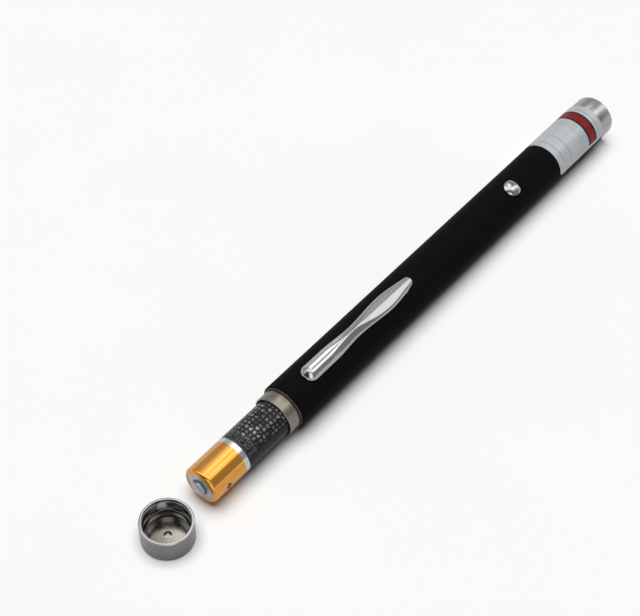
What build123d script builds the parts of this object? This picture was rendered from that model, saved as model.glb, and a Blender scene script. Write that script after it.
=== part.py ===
from build123d import *
import math
import os

# Pen-shaped laser pointer, lying on a table with its tail cap off.
# The cap stands on its closed end behind the barrel, and the two cells are slid
# part of the way out of the barrel. The barrel's axis runs along +X to the laser
# end. Pieces are drawn about that axis, with x = 0 at the barrel's tail face, and
# are placed on the table last. Every clock angle is measured from straight up
# towards -Y. All sizes are in millimetres, all angles in degrees.

# Clearances and cuts
press_clearance = 0.02
running_clearance = 0.05
cut_overrun = 2.0

# Cells: size AAA
cell_diameter = 10.5
cell_length = 44.5
cell_rest_gap = 0.05
nub_diameter = 3.8
nub_height = 1.1
nub_edge_round = 0.35
can_wall = 0.25
can_shoulder_round = 0.9
can_mouth_gap = 0.3
jacket_thickness = 0.12
jacket_lip_gap = 0.2
base_margin = 1.65
base_proud = 0.4
base_edge_round = 0.15
# How far the second cell's tip is inside the barrel while the cells are slid out
inner_tip_place = 12.3

# Barrel tube
bore_clearance = 0.25
barrel_wall = 1.15
tail_edge_round = 0.25
nose_edge_round = 0.2

# Tail collar, the sleeve that the cap screws onto
collar_wall = 0.4
collar_reach = 4.0
collar_seat_depth = 7.5
collar_rim_round = 0.15
lip_step = 0.35
lip_seat_depth = 0.6
lip_proud = 0.15
groove_depth = 0.2
groove_width = 0.45

# Front ferrule
ferrule_step = 0.18
ferrule_length = 5.4
ferrule_edge_round = 0.35
ferrule_wall = 2.4
ferrule_spigot = 6.5
aperture_diameter = 3.5
funnel_diameter = 6.4
funnel_depth = 1.2

# Foil label wrapped round the nose of the barrel
label_thickness = 0.08
label_width = 22.9
label_start_angle = -160.0
label_end_angle = 93.0

# Pocket clip
clip_angle = 10.0
clip_start = 6.7
clip_length = 43.6
clip_thickness = 0.5
clip_root_width = 4.9
clip_waist_width = 3.65
clip_leaf_width = 5.2
clip_tip_width = 2.5
clip_nose_round = 1.7
clip_nose_margin = 0.15
clip_side_margin = 0.4
clip_root_gap = 0.06
clip_rim_drop = 0.6
clip_waist_gap = 0.35
clip_leaf_gap = 0.05
clip_tip_gap = 0.2
clip_bead_gap = 0.1
clip_root_height = 2.0
clip_waist_height = 1.65
clip_leaf_height = 1.22
clip_tip_height = 0.85
# Width of the low roof along the clip's back, between its two flanks
clip_root_roof = 2.2
clip_waist_roof = 0.6
clip_leaf_roof = 4.2
clip_tip_roof = 1.9
# Slopes of the roof and of its flanks
clip_root_roof_slope = 11.0
clip_leaf_roof_slope = 16.0
clip_root_flank_slope = 57.0
clip_waist_flank_slope = 33.0
clip_leaf_flank_slope = 45.0
# Where along the clip its straight shank ends and its waist and leaf are
clip_shank_share = 0.23
clip_waist_share = 0.45
clip_leaf_share = 0.74
clip_tip_slope_share = -0.42
# How many cross-sections its back is drawn through
clip_section_count = 19
# How round its corners are, as a share of half its width there
clip_root_corner_share = 0.93
clip_tip_corner_share = 0.5
# Lug that holds the clip in the barrel's slot
lug_place = 3.4
lug_length = 3.0
lug_width = 1.6
lug_slot_gap = 0.2
lug_end_gap = 0.15

# Push button
button_setback = 8.45
button_angle = 18.0
button_diameter = 5.0
button_gap = 0.12
button_edge_height = 0.1
button_dome_height = 0.95
button_flange_diameter = 6.0
button_flange_thickness = 0.5
button_flange_gap = 0.15
button_hollow_diameter = 3.2
button_roof = 1.3
button_stem_proud = 0.1

# Driver board and what it carries
board_length = 30.4
board_side_gap = 0.56
board_thickness = 1.0
board_corner = 0.6
switch_side = 4.5
switch_height = 1.5
switch_pocket_diameter = 3.0
switch_pocket_depth = 1.0
switch_cover_sheet = 0.2
switch_cover_hook = 0.9
plunger_proud = 0.93
plunger_diameter = 1.9
plunger_foot_diameter = 2.6
plunger_foot_thickness = 0.4
plunger_foot_gap = 0.1
terminal_width = 0.6
terminal_foot = 0.8
terminal_height = 0.9
terminal_sheet = 0.15
terminal_spacing = 3.0
trimmer_place = 7.6
trimmer_length = 3.6
trimmer_width = 3.0
trimmer_height = 1.1
trimmer_rotor_diameter = 2.4
trimmer_rotor_height = 0.4
trimmer_slot_width = 0.4
transistor_place = 14.0
transistor_length = 2.9
transistor_width = 1.3
transistor_height = 1.0
transistor_leg_width = 0.4
transistor_leg_reach = 0.55
transistor_leg_sheet = 0.15
transistor_leg_spacing = 0.95
chip_length = 1.6
chip_width = 0.8
chip_height = 0.5
chip_cap_length = 0.35
chip_cap_thickness = 0.05
resistor_place = 11.0
resistor_spacing = 2.4
resistor_offset = 2.6
resistor_count = 3
capacitor_place = -5.6
capacitor_length = 2.0
capacitor_width = 1.25
capacitor_height = 1.0
capacitor_offset = 2.2

# Plastic carrier under the board
carrier_bore_gap = 0.08
carrier_front_run = 1.6
carrier_wall = 1.8
carrier_floor = 2.4
carrier_tail_wall = 2.0

# Contact spring on the board's tail end
spring_plate_margin = 0.3
spring_plate_thickness = 0.5
spring_wire_diameter = 0.6
spring_base_margin = 1.0
spring_tip_margin = 1.0
spring_free_length = 9.4
spring_working_length = 4.95
spring_turns = 6
spring_seat_gap = 0.02

# Laser module
module_gap = 2.0
module_margin = 0.85
module_wall = 1.15
module_length = 21.2
module_throat_diameter = 4.4
module_throat_length = 2.5
diode_seat_depth = 2.4
diode_flange_diameter = 5.6
diode_flange_thickness = 1.2
diode_can_diameter = 3.55
diode_can_length = 2.3
diode_lead_diameter = 0.45
diode_lead_circle = 2.0
diode_lead_overlap = 3.2
diode_case_lead_length = 3.0
lens_holder_length = 4.5
lens_holder_setback = 0.7
lens_holder_front = 1.2
lens_holder_wall = 0.8
lens_stop_diameter = 3.2
lens_rim = 0.7
lens_crown = 0.9
lens_spring_wire = 0.4
lens_spring_margin = 0.4
lens_spring_turns = 5

# Tail cap, standing open end up
cap_overhang = 0.1
cap_height = 7.1
cap_gap = 4.75
cap_side_place = -0.75
cap_base_round = 0.45
cap_rim_round = 0.4
cap_mouth_clearance = 0.2
cap_mouth_depth = 0.8
cap_bore_clearance = 0.04
cap_bore_depth = 4.3
cap_well_step = 0.2
cap_floor = 0.6
cap_contact_margin = 0.2
cap_contact_thickness = 0.3
cap_pip_diameter = 1.5
cap_pip_height = 0.5

# Radii, worked out from the cell outwards and inwards
cell_radius = cell_diameter / 2
bore_radius = cell_radius + bore_clearance
barrel_radius = bore_radius + barrel_wall
collar_radius = bore_radius + collar_wall
groove_radius = collar_radius - groove_depth
lip_radius = barrel_radius - lip_step
ferrule_radius = barrel_radius - ferrule_step
label_radius = barrel_radius + label_thickness
cap_radius = barrel_radius + cap_overhang
cap_mouth_radius = collar_radius + cap_mouth_clearance
cap_bore_radius = collar_radius + cap_bore_clearance
cap_well_radius = bore_radius - cap_well_step
cap_contact_radius = cap_well_radius - cap_contact_margin
can_radius = cell_radius - jacket_thickness
base_radius = cell_radius - base_margin
can_mouth_radius = base_radius + can_mouth_gap
jacket_lip_radius = can_mouth_radius + jacket_lip_gap
seal_depth = can_shoulder_round
spring_plate_radius = bore_radius - spring_plate_margin
spring_base_radius = spring_plate_radius - spring_base_margin
spring_tip_radius = base_radius - spring_tip_margin
module_radius = bore_radius - module_margin
module_bore_radius = module_radius - module_wall
lens_radius = module_bore_radius - lens_holder_wall
lens_spring_radius = module_bore_radius - lens_spring_margin - lens_spring_wire / 2
button_radius = button_diameter / 2

# Places along the barrel, from the cells' seat in the cap to the nose
cap_contact_top = cap_floor + cap_contact_thickness + cap_pip_height
seated_tip_x = -lip_proud - (cap_height - cap_contact_top)
spring_plate_x = seated_tip_x + 2 * cell_length + spring_working_length
spring_tip_x = spring_plate_x - spring_free_length
board_back_x = spring_plate_x + spring_plate_thickness
button_place = board_back_x + button_setback
board_front_x = board_back_x + board_length
module_back_x = board_front_x + module_gap
module_front_x = module_back_x + module_length
nose_x = module_front_x + ferrule_wall
barrel_length = nose_x - ferrule_length
diode_back_x = module_back_x + diode_seat_depth - diode_flange_thickness
diode_lead_length = diode_back_x - board_front_x + diode_lead_overlap
outer_tip_x = inner_tip_place - cell_length
cell_travel = seated_tip_x - outer_tip_x
cell_drop = bore_radius - cell_radius - cell_rest_gap
cap_place = outer_tip_x - cap_gap - cap_radius

# Heights above the axis, from the button down to the board
button_crown = barrel_radius + button_dome_height
button_hollow_top = button_crown - button_roof
flange_reach = math.sqrt(bore_radius**2 - (button_flange_diameter / 2) ** 2)
flange_top = flange_reach - button_flange_gap
flange_bottom = flange_top - button_flange_thickness
plunger_top = flange_bottom - button_stem_proud
switch_top = plunger_top - plunger_proud - switch_cover_sheet
board_top = switch_top - switch_height
board_bottom = board_top - board_thickness
board_reach = math.sqrt(bore_radius**2 - max(abs(board_top), abs(board_bottom)) ** 2)
board_half_width = board_reach - board_side_gap

# The origin is under the middle of everything, on the table
origin_x = (cap_place - cap_radius + nose_x) / 2
origin_y = (cap_side_place - cap_radius + label_radius) / 2
barrel_on_table = Pos(-origin_x, -origin_y, barrel_radius)
cap_on_table = Pos(cap_place - origin_x, cap_side_place - origin_y, 0)


def rounded_face(corners, rounds):
    """A closed outline of straight lines, with some of its corners rounded."""
    face = make_face(Polyline(*corners, close=True))
    for number, size in rounds:
        corner = face.vertices().sort_by_distance(Vector(*corners[number]))[0]
        face = fillet(corner, size)
    return face


def dome_fall(radius, height, place):
    """How far a round dome has fallen at a place out from its middle."""
    ball = (radius**2 + height**2) / (2 * height)
    return ball - math.sqrt(ball**2 - place**2)


def turned(corners, rounds=()):
    """A turned piece: its outline is (x, radius) points, spun about the barrel's axis."""
    return revolve(rounded_face(corners, rounds), Axis.X)


def turned_upright(corners, rounds=()):
    """A turned piece: its outline is (radius, z) points, spun about an upright axis."""
    upright = Plane.XZ * rounded_face(corners, rounds)
    return revolve(upright, Axis.Z)


def block(x_low, x_high, width, z_low, z_high, y_middle=0):
    """A straight-sided piece between two places along the barrel, centred across it."""
    middle = Pos((x_low + x_high) / 2, y_middle, (z_low + z_high) / 2)
    return middle * Box(x_high - x_low, width, z_high - z_low)


def peg(x, radius, z_low, z_high, y=0):
    """A round piece standing square to the barrel's axis."""
    return Pos(x, y, (z_low + z_high) / 2) * Cylinder(radius, z_high - z_low)


def arc_path(places, directions):
    """A smooth path through places in space: two arcs from each place to the next."""
    edges = []
    for number in range(len(places) - 1):
        start, end = places[number], places[number + 1]
        leaving, arriving = directions[number], directions[number + 1]
        span = end - start
        forward = span.dot(leaving + arriving)
        bend = 2 * (1 - leaving.dot(arriving))
        reach = (math.sqrt(forward**2 + bend * span.dot(span)) - forward) / bend
        first_corner = start + leaving * reach
        second_corner = end - arriving * reach
        middle = (first_corner + second_corner) / 2
        across = (second_corner - first_corner).normalized()
        edges.append(Edge.make_tangent_arc(start, leaving, middle))
        edges.append(Edge.make_tangent_arc(middle, across, end))
    return Wire(edges)


def coil(start_x, end_x, start_radius, end_radius, turns, wire_radius):
    """A wound wire between two places on the axis, tapering from one radius to the other."""
    steps = turns * 4
    places, directions = [], []
    for step in range(steps + 1):
        along = step / steps
        turn = math.radians(90 * step)
        radius = start_radius + (end_radius - start_radius) * along
        run = (end_x - start_x) / steps
        grow = (end_radius - start_radius) / steps
        sweep_rate = radius * math.pi / 2
        places.append(
            Vector(
                start_x + (end_x - start_x) * along,
                radius * math.cos(turn),
                radius * math.sin(turn),
            )
        )
        directions.append(
            Vector(
                run,
                grow * math.cos(turn) - sweep_rate * math.sin(turn),
                grow * math.sin(turn) + sweep_rate * math.cos(turn),
            ).normalized()
        )
    path = arc_path(places, directions)
    section = Plane(origin=places[0], z_dir=directions[0]) * Circle(wire_radius)
    turn_pitch = abs(end_x - start_x) / turns
    turn_shrink = abs(end_radius - start_radius) / turns
    gap = math.hypot(turn_pitch, turn_shrink) - 2 * wire_radius
    print("coil of", turns, "turns, gap between turns", round(gap, 3))
    return sweep(section, path=path)


# Barrel, collar, ferrule and label


def barrel_tube():
    """Painted tube, bored through, with seats for the collar, the button and the clip."""
    lip_seat_radius = lip_radius + press_clearance
    collar_seat_radius = collar_radius + press_clearance
    tube = turned(
        [
            (0, lip_seat_radius),
            (0, barrel_radius),
            (barrel_length, barrel_radius),
            (barrel_length, bore_radius),
            (collar_seat_depth, bore_radius),
            (collar_seat_depth, collar_seat_radius),
            (lip_seat_depth, collar_seat_radius),
            (lip_seat_depth, lip_seat_radius),
        ],
        [(1, tail_edge_round), (2, nose_edge_round)],
    )
    hole = peg(button_place, button_radius + button_gap, 0, 2 * barrel_radius)
    lug_x = clip_start + lug_place
    slot = block(
        lug_x - lug_slot_gap,
        lug_x + lug_length + lug_slot_gap,
        lug_width + 2 * lug_slot_gap,
        0,
        2 * barrel_radius,
    )
    return tube - Rot(X=button_angle) * hole - Rot(X=clip_angle) * slot


def tail_collar():
    """Plated sleeve set into the tail: a lip, a groove and the band for the cap."""
    groove_x = -lip_proud - groove_width
    return turned(
        [
            (-collar_reach, bore_radius),
            (-collar_reach, collar_radius),
            (groove_x, collar_radius),
            (groove_x, groove_radius),
            (-lip_proud, groove_radius),
            (-lip_proud, lip_radius),
            (lip_seat_depth, lip_radius),
            (lip_seat_depth, collar_radius),
            (collar_seat_depth, collar_radius),
            (collar_seat_depth, bore_radius),
        ],
        [(1, collar_rim_round), (2, collar_rim_round)],
    )


def front_ferrule():
    """Bright nose: a head as wide as the barrel, a spigot, and the beam's aperture."""
    spigot_radius = bore_radius - press_clearance
    socket_radius = module_radius + press_clearance
    spigot_x = barrel_length - ferrule_spigot
    aperture_radius = aperture_diameter / 2
    return turned(
        [
            (spigot_x, socket_radius),
            (spigot_x, spigot_radius),
            (barrel_length, spigot_radius),
            (barrel_length, ferrule_radius),
            (nose_x, ferrule_radius),
            (nose_x, funnel_diameter / 2),
            (nose_x - funnel_depth, aperture_radius),
            (module_front_x, aperture_radius),
            (module_front_x, socket_radius),
        ],
        [(4, ferrule_edge_round)],
    )


def label_wrap():
    """Thin foil sticker that goes most of the way round the nose of the barrel."""
    strip = make_face(
        Polyline(
            (barrel_length - label_width, barrel_radius),
            (barrel_length - nose_edge_round, barrel_radius),
            (barrel_length - nose_edge_round, label_radius),
            (barrel_length - label_width, label_radius),
            close=True,
        )
    )
    start = Rot(X=90 + label_start_angle) * strip
    return revolve(start, Axis.X, revolution_arc=label_end_angle - label_start_angle)


# Pocket clip


def clip_plan(inset):
    """The clip seen from above: round root, straight shank, waist, leaf and blunt tip."""
    back = clip_start + inset
    front = clip_start + clip_length - inset
    root = clip_root_width / 2 - inset
    tip = clip_tip_width / 2 - inset
    places = [
        (clip_start + clip_length * clip_shank_share, root),
        (clip_start + clip_length * clip_waist_share, clip_waist_width / 2 - inset),
        (clip_start + clip_length * clip_leaf_share, clip_leaf_width / 2 - inset),
        (front, tip),
    ]
    left = Spline(*places, tangents=[(1, 0), (1, clip_tip_slope_share)])
    right = Spline(
        *[(x, -y) for x, y in places],
        tangents=[(1, 0), (1, -clip_tip_slope_share)],
    )
    edges = [
        Line((back, -root), (back, root)),
        Line((back, root), places[0]),
        left,
        Line((front, tip), (front, -tip)),
        right,
        Line((places[0][0], -root), (back, -root)),
    ]
    plan = make_face(edges)
    for corner_x, corner_y, size in (
        (back, root, root * clip_root_corner_share),
        (front, tip, tip * clip_tip_corner_share),
    ):
        for side in (-1, 1):
            spot = Vector(corner_x, side * corner_y)
            corner = plan.vertices().sort_by_distance(spot)[0]
            plan = fillet(corner, size)
    return plan


def clip_section(x, height, roof_width, roof_slope, flank_slope, depth):
    """The clip's back at one place, drawn in by a depth: a low roof and two flanks."""
    wide = max(clip_root_width, clip_leaf_width) / 2 + clip_side_margin
    roof = math.radians(roof_slope)
    flank = math.radians(flank_slope)
    roof_drop = depth / math.cos(roof)
    flank_drop = depth / math.cos(flank)
    draw_in = (flank_drop - roof_drop) / (math.tan(flank) - math.tan(roof))
    shoulder = roof_width / 2 - draw_in
    crown = barrel_radius + height - roof_drop
    shoulder_height = crown - shoulder * math.tan(roof)
    edge_height = shoulder_height - (wide - shoulder) * math.tan(flank)
    outline = Polyline(
        (-wide, 0),
        (-wide, edge_height),
        (-shoulder, shoulder_height),
        (0, crown),
        (shoulder, shoulder_height),
        (wide, edge_height),
        (wide, 0),
        close=True,
    )
    return Plane.YZ.offset(x) * make_face(outline)


def clip_profile(along):
    """Height, roof width and both slopes of the clip's back at a place along it."""
    root = (clip_root_height, clip_root_roof, clip_root_roof_slope, clip_root_flank_slope)
    waist = (clip_waist_height, clip_waist_roof, clip_leaf_roof_slope, clip_waist_flank_slope)
    leaf = (clip_leaf_height, clip_leaf_roof, clip_leaf_roof_slope, clip_leaf_flank_slope)
    tip = (clip_tip_height, clip_tip_roof, clip_leaf_roof_slope, clip_leaf_flank_slope)
    shares = (clip_shank_share, clip_waist_share, clip_leaf_share, 1)
    keys = list(zip(shares, (root, waist, leaf, tip)))
    share = min(max(along / clip_length, clip_shank_share), 1)
    for (start, first), (end, last) in zip(keys, keys[1:]):
        if share <= end:
            run = (share - start) / (end - start)
            ease = run * run * (3 - 2 * run)
            height = first[0] + (last[0] - first[0]) * run
            others = [a + (b - a) * ease for a, b in zip(first[1:], last[1:])]
            return height, *others


def clip_back(depth):
    """A solid under the clip's back, from its root to its tip."""
    sections = []
    for number in range(clip_section_count):
        share = number / (clip_section_count - 1)
        along = (clip_length + 2 * clip_side_margin) * share - clip_side_margin
        sections.append(clip_section(clip_start + along, *clip_profile(along), depth))
    return loft(sections, ruled=True)


def clip_side(inset):
    """The clip seen from the side: its closed end is rounded down to the barrel."""
    crown = barrel_radius + clip_root_height + clip_nose_margin - inset
    back = clip_start + inset
    front = clip_start + clip_length
    outline = rounded_face(
        [(back, 0), (back, crown), (front, crown), (front, 0)],
        [(1, clip_nose_round - inset)],
    )
    return extrude(Plane.XZ * outline, barrel_radius, both=True)


def clip_body(inset):
    """The clip as a solid lump, drawn in by an inset all over."""
    return extrude(clip_plan(inset), 2 * barrel_radius) & clip_back(inset) & clip_side(inset)


def clip_clearing():
    """The space under the clip: round the barrel at its root, rising towards its tip."""
    round_part = turned(
        [
            (clip_start - cut_overrun, 0),
            (clip_start - cut_overrun, barrel_radius + clip_root_gap),
            (clip_start + clip_length + cut_overrun, barrel_radius + clip_root_gap),
            (clip_start + clip_length + cut_overrun, 0),
        ]
    )
    shank_x = clip_start + clip_length * clip_shank_share
    waist_x = clip_start + clip_length * clip_waist_share
    leaf_x = clip_start + clip_length * clip_leaf_share
    tip_x = clip_start + clip_length
    side = make_face(
        Polyline(
            (shank_x, 0),
            (shank_x, barrel_radius - clip_rim_drop),
            (waist_x, barrel_radius + clip_waist_gap),
            (leaf_x, barrel_radius + clip_leaf_gap),
            (tip_x, barrel_radius + clip_tip_gap),
            (tip_x, 0),
            close=True,
        )
    )
    return round_part + extrude(Plane.XZ * side, barrel_radius, both=True)


def pocket_clip():
    """Pressed spring clip: a roofed shell with turned-down edges, a bead and a lug."""
    shell = clip_body(0) - clip_body(clip_thickness) - clip_clearing()
    lug_x = clip_start + lug_place
    lug = block(
        lug_x,
        lug_x + lug_length,
        lug_width,
        bore_radius + lug_end_gap,
        barrel_radius + clip_root_height - clip_thickness,
    )
    bead_centre = barrel_radius + clip_leaf_height - clip_thickness
    bead_radius = bead_centre - barrel_radius - clip_bead_gap
    bead_place = Pos(clip_start + clip_length * clip_leaf_share, 0, bead_centre)
    half_up = (Align.CENTER, Align.CENTER, Align.MAX)
    bead = bead_place * Sphere(bead_radius, arc_size2=0, align=half_up)
    return Rot(X=clip_angle) * (shell + lug + bead)


# Push button and switch


def button_cap():
    """Domed bright button with a flange that keeps it in the barrel."""
    edge = barrel_radius + button_edge_height
    half = button_radius / 2
    dome_rise = button_crown - edge
    flange_radius = button_flange_diameter / 2
    hollow_radius = button_hollow_diameter / 2
    dome_middle = button_crown - dome_fall(button_radius, dome_rise, half)
    outline = [
        Line((0, button_hollow_top), (0, button_crown)),
        ThreePointArc((0, button_crown), (half, dome_middle), (button_radius, edge)),
        Polyline(
            (button_radius, edge),
            (button_radius, flange_top),
            (flange_radius, flange_top),
            (flange_radius, flange_bottom),
            (hollow_radius, flange_bottom),
            (hollow_radius, button_hollow_top),
            (0, button_hollow_top),
        ),
    ]
    cap = revolve(Plane.XZ * make_face(outline), Axis.Z)
    return Rot(X=button_angle) * (Pos(button_place, 0, 0) * cap)


def button_stem():
    """Plastic stem pressed up into the button, which bears on the switch."""
    radius = button_hollow_diameter / 2 - press_clearance
    return Rot(X=button_angle) * peg(
        button_place, radius, plunger_top, button_hollow_top
    )


def switch_base():
    """Moulded base of the switch, with the pocket that its plunger moves in."""
    half = switch_side / 2
    base = block(
        button_place - half, button_place + half, switch_side, board_top, switch_top
    )
    pocket = peg(
        button_place,
        switch_pocket_diameter / 2,
        switch_top - switch_pocket_depth,
        switch_top,
    )
    return Rot(X=button_angle) * (base - pocket)


def switch_cover():
    """Sheet cover that hooks over two sides of the switch and guides its plunger."""
    half = switch_side / 2
    low = switch_top
    cover = block(
        button_place - half - switch_cover_sheet,
        button_place + half + switch_cover_sheet,
        switch_side,
        low,
        low + switch_cover_sheet,
    )
    for side in (-1, 1):
        hook_middle = button_place + side * (half + switch_cover_sheet / 2)
        cover += block(
            hook_middle - switch_cover_sheet / 2,
            hook_middle + switch_cover_sheet / 2,
            switch_side,
            low - switch_cover_hook,
            low,
        )
    hole = peg(
        button_place,
        plunger_diameter / 2 + running_clearance,
        low,
        low + switch_cover_sheet,
    )
    return Rot(X=button_angle) * (cover - hole)


def switch_plunger():
    """Plunger of the switch: a pin on a wider foot that the cover holds in."""
    foot_top = switch_top - plunger_foot_gap
    foot_bottom = foot_top - plunger_foot_thickness
    foot = peg(button_place, plunger_foot_diameter / 2, foot_bottom, foot_top)
    pin = peg(button_place, plunger_diameter / 2, foot_bottom, plunger_top)
    return Rot(X=button_angle) * (foot + pin)


def switch_terminals():
    """Four sheet legs, two on each side of the switch, that stand on the board."""
    legs = []
    half = switch_side / 2
    for end in (-1, 1):
        low_x = button_place + end * terminal_spacing / 2 - terminal_width / 2
        for side in (-1, 1):
            upright = block(
                low_x,
                low_x + terminal_width,
                terminal_sheet,
                board_top,
                board_top + terminal_height,
                side * (half + terminal_sheet / 2),
            )
            foot = block(
                low_x,
                low_x + terminal_width,
                terminal_foot,
                board_top,
                board_top + terminal_sheet,
                side * (half + terminal_foot / 2),
            )
            legs.append(Rot(X=button_angle) * (upright + foot))
    return Compound(legs)


# Driver board


def driver_board():
    """Circuit board along the barrel, square to the button's stroke."""
    plan = rounded_face(
        [
            (board_back_x, -board_half_width),
            (board_front_x, -board_half_width),
            (board_front_x, board_half_width),
            (board_back_x, board_half_width),
        ],
        [(number, board_corner) for number in range(4)],
    )
    return Rot(X=button_angle) * (Pos(0, 0, board_bottom) * extrude(plan, board_thickness))


def trim_potentiometer():
    """Small trimmer with a slotted rotor, which sets the beam's power."""
    middle = button_place + trimmer_place
    top = board_top + trimmer_height
    rotor_top = top + trimmer_rotor_height
    rotor_radius = trimmer_rotor_diameter / 2
    half = trimmer_length / 2
    body = block(middle - half, middle + half, trimmer_width, board_top, top)
    rotor = peg(middle, rotor_radius, top, rotor_top)
    slot = block(
        middle - rotor_radius,
        middle + rotor_radius,
        trimmer_slot_width,
        top + trimmer_rotor_height / 2,
        rotor_top,
    )
    crossing = block(
        middle - trimmer_slot_width / 2,
        middle + trimmer_slot_width / 2,
        trimmer_rotor_diameter,
        top + trimmer_rotor_height / 2,
        rotor_top,
    )
    return Rot(X=button_angle) * (body + rotor - slot - crossing)


def driver_transistor():
    """Three-legged transistor that drives the laser diode."""
    middle = button_place + transistor_place
    half = transistor_length / 2
    part = block(
        middle - half,
        middle + half,
        transistor_width,
        board_top,
        board_top + transistor_height,
    )
    reach = transistor_width / 2 + transistor_leg_reach / 2
    for along, side in ((-1, 1), (1, 1), (0, -1)):
        leg_x = middle + along * transistor_leg_spacing
        part += block(
            leg_x - transistor_leg_width / 2,
            leg_x + transistor_leg_width / 2,
            transistor_leg_reach,
            board_top,
            board_top + transistor_leg_sheet,
            side * reach,
        )
    return Rot(X=button_angle) * part


def chip(middle_x, middle_y, length, width, height):
    """A chip part on the board: a body between two end caps that stand a little proud."""
    low = middle_x - length / 2
    high = middle_x + length / 2
    part = block(low, high, width, board_top, board_top + height, middle_y)
    for cap_low in (low, high - chip_cap_length):
        part += block(
            cap_low,
            cap_low + chip_cap_length,
            width + 2 * chip_cap_thickness,
            board_top,
            board_top + height + chip_cap_thickness,
            middle_y,
        )
    return Rot(X=button_angle) * part


def chip_resistors():
    """A row of chip resistors beside the trimmer and the transistor."""
    return Compound(
        [
            chip(
                button_place + resistor_place + number * resistor_spacing,
                resistor_offset,
                chip_length,
                chip_width,
                chip_height,
            )
            for number in range(resistor_count)
        ]
    )


def chip_capacitors():
    """Two chip capacitors between the spring's end of the board and the switch."""
    return Compound(
        [
            chip(
                button_place + capacitor_place,
                side * capacitor_offset,
                capacitor_length,
                capacitor_width,
                capacitor_height,
            )
            for side in (-1, 1)
        ]
    )


def board_carrier():
    """Half-round plastic tray that the board lies on, inside the barrel."""
    carrier_radius = bore_radius - carrier_bore_gap
    front_x = board_front_x + carrier_front_run
    length = front_x - board_back_x
    rod = turned(
        [
            (board_back_x, 0),
            (board_back_x, carrier_radius),
            (front_x, carrier_radius),
            (front_x, 0),
        ]
    )
    lower_half = block(
        board_back_x, front_x, 2 * carrier_radius, -carrier_radius, board_bottom
    )
    trough = block(
        board_back_x + carrier_tail_wall,
        board_back_x + length + cut_overrun,
        2 * (carrier_radius - carrier_wall),
        carrier_floor - carrier_radius,
        board_bottom,
    )
    return Rot(X=button_angle) * ((rod & lower_half) - trough)


# Contact spring


def spring_plate():
    """Round contact plate on the tail end of the board and its carrier."""
    return turned(
        [
            (spring_plate_x, 0),
            (spring_plate_x, spring_plate_radius),
            (board_back_x, spring_plate_radius),
            (board_back_x, 0),
        ]
    )


def battery_spring():
    """Tapered contact spring that pushes the cells towards the cap."""
    wire_radius = spring_wire_diameter / 2
    return coil(
        spring_plate_x - wire_radius - spring_seat_gap,
        spring_tip_x + wire_radius,
        spring_base_radius,
        spring_tip_radius,
        spring_turns,
        wire_radius,
    )


# Laser module


def module_housing():
    """Turned body of the laser module: lens bore in front, diode seat behind."""
    throat = module_throat_diameter / 2
    seat = diode_flange_diameter / 2 + press_clearance
    seat_x = module_back_x + diode_seat_depth
    throat_x = seat_x + module_throat_length
    return turned(
        [
            (module_back_x, seat),
            (module_back_x, module_radius),
            (module_front_x, module_radius),
            (module_front_x, module_bore_radius),
            (throat_x, module_bore_radius),
            (throat_x, throat),
            (seat_x, throat),
            (seat_x, seat),
        ]
    )


def laser_diode():
    """Laser diode: a round flange pressed into the module, with its can in front."""
    flange_front = diode_back_x + diode_flange_thickness
    can_front = flange_front + diode_can_length
    flange = diode_flange_diameter / 2
    can = diode_can_diameter / 2
    return turned(
        [
            (diode_back_x, 0),
            (diode_back_x, flange),
            (flange_front, flange),
            (flange_front, can),
            (can_front, can),
            (can_front, 0),
        ]
    )


def diode_leads():
    """Three leads: two lie along the board's underside, and the case lead is short."""
    radius = diode_lead_diameter / 2
    offset = diode_lead_circle / 2
    height = board_bottom - radius
    leads = []
    for y, z, length in (
        (-offset, height, diode_lead_length),
        (offset, height, diode_lead_length),
        (0, height - offset, diode_case_lead_length),
    ):
        middle = Pos(diode_back_x - length / 2, y, z)
        leads.append(
            Rot(X=button_angle) * (middle * (Rot(Y=90) * Cylinder(radius, length)))
        )
    return Compound(leads)


def lens_holder():
    """Ring that holds the lens behind its stop and screws in the module's bore."""
    front = module_front_x - lens_holder_setback
    back = front - lens_holder_length
    outer = module_bore_radius - press_clearance
    pocket = lens_radius + press_clearance
    stop_x = front - lens_holder_front
    return turned(
        [
            (back, pocket),
            (back, outer),
            (front, outer),
            (front, lens_stop_diameter / 2),
            (stop_x, lens_stop_diameter / 2),
            (stop_x, pocket),
        ]
    )


def collimating_lens():
    """Collimating lens: flat towards the beam's exit, crowned towards the diode."""
    flat_x = module_front_x - lens_holder_setback - lens_holder_front
    rim_x = flat_x - lens_rim
    crown_x = rim_x - lens_crown
    half = lens_radius / 2
    middle_x = crown_x + dome_fall(lens_radius, lens_crown, half)
    outline = [
        Polyline((crown_x, 0), (flat_x, 0), (flat_x, lens_radius), (rim_x, lens_radius)),
        ThreePointArc((rim_x, lens_radius), (middle_x, half), (crown_x, 0)),
    ]
    return revolve(make_face(outline), Axis.X)


def lens_spring():
    """Small spring between the module's throat and the lens holder."""
    wire_radius = lens_spring_wire / 2
    throat_x = module_back_x + diode_seat_depth + module_throat_length
    holder_x = module_front_x - lens_holder_setback - lens_holder_length
    return coil(
        throat_x + wire_radius + spring_seat_gap,
        holder_x - wire_radius - spring_seat_gap,
        lens_spring_radius,
        lens_spring_radius,
        lens_spring_turns,
        wire_radius,
    )


# Cells


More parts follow.
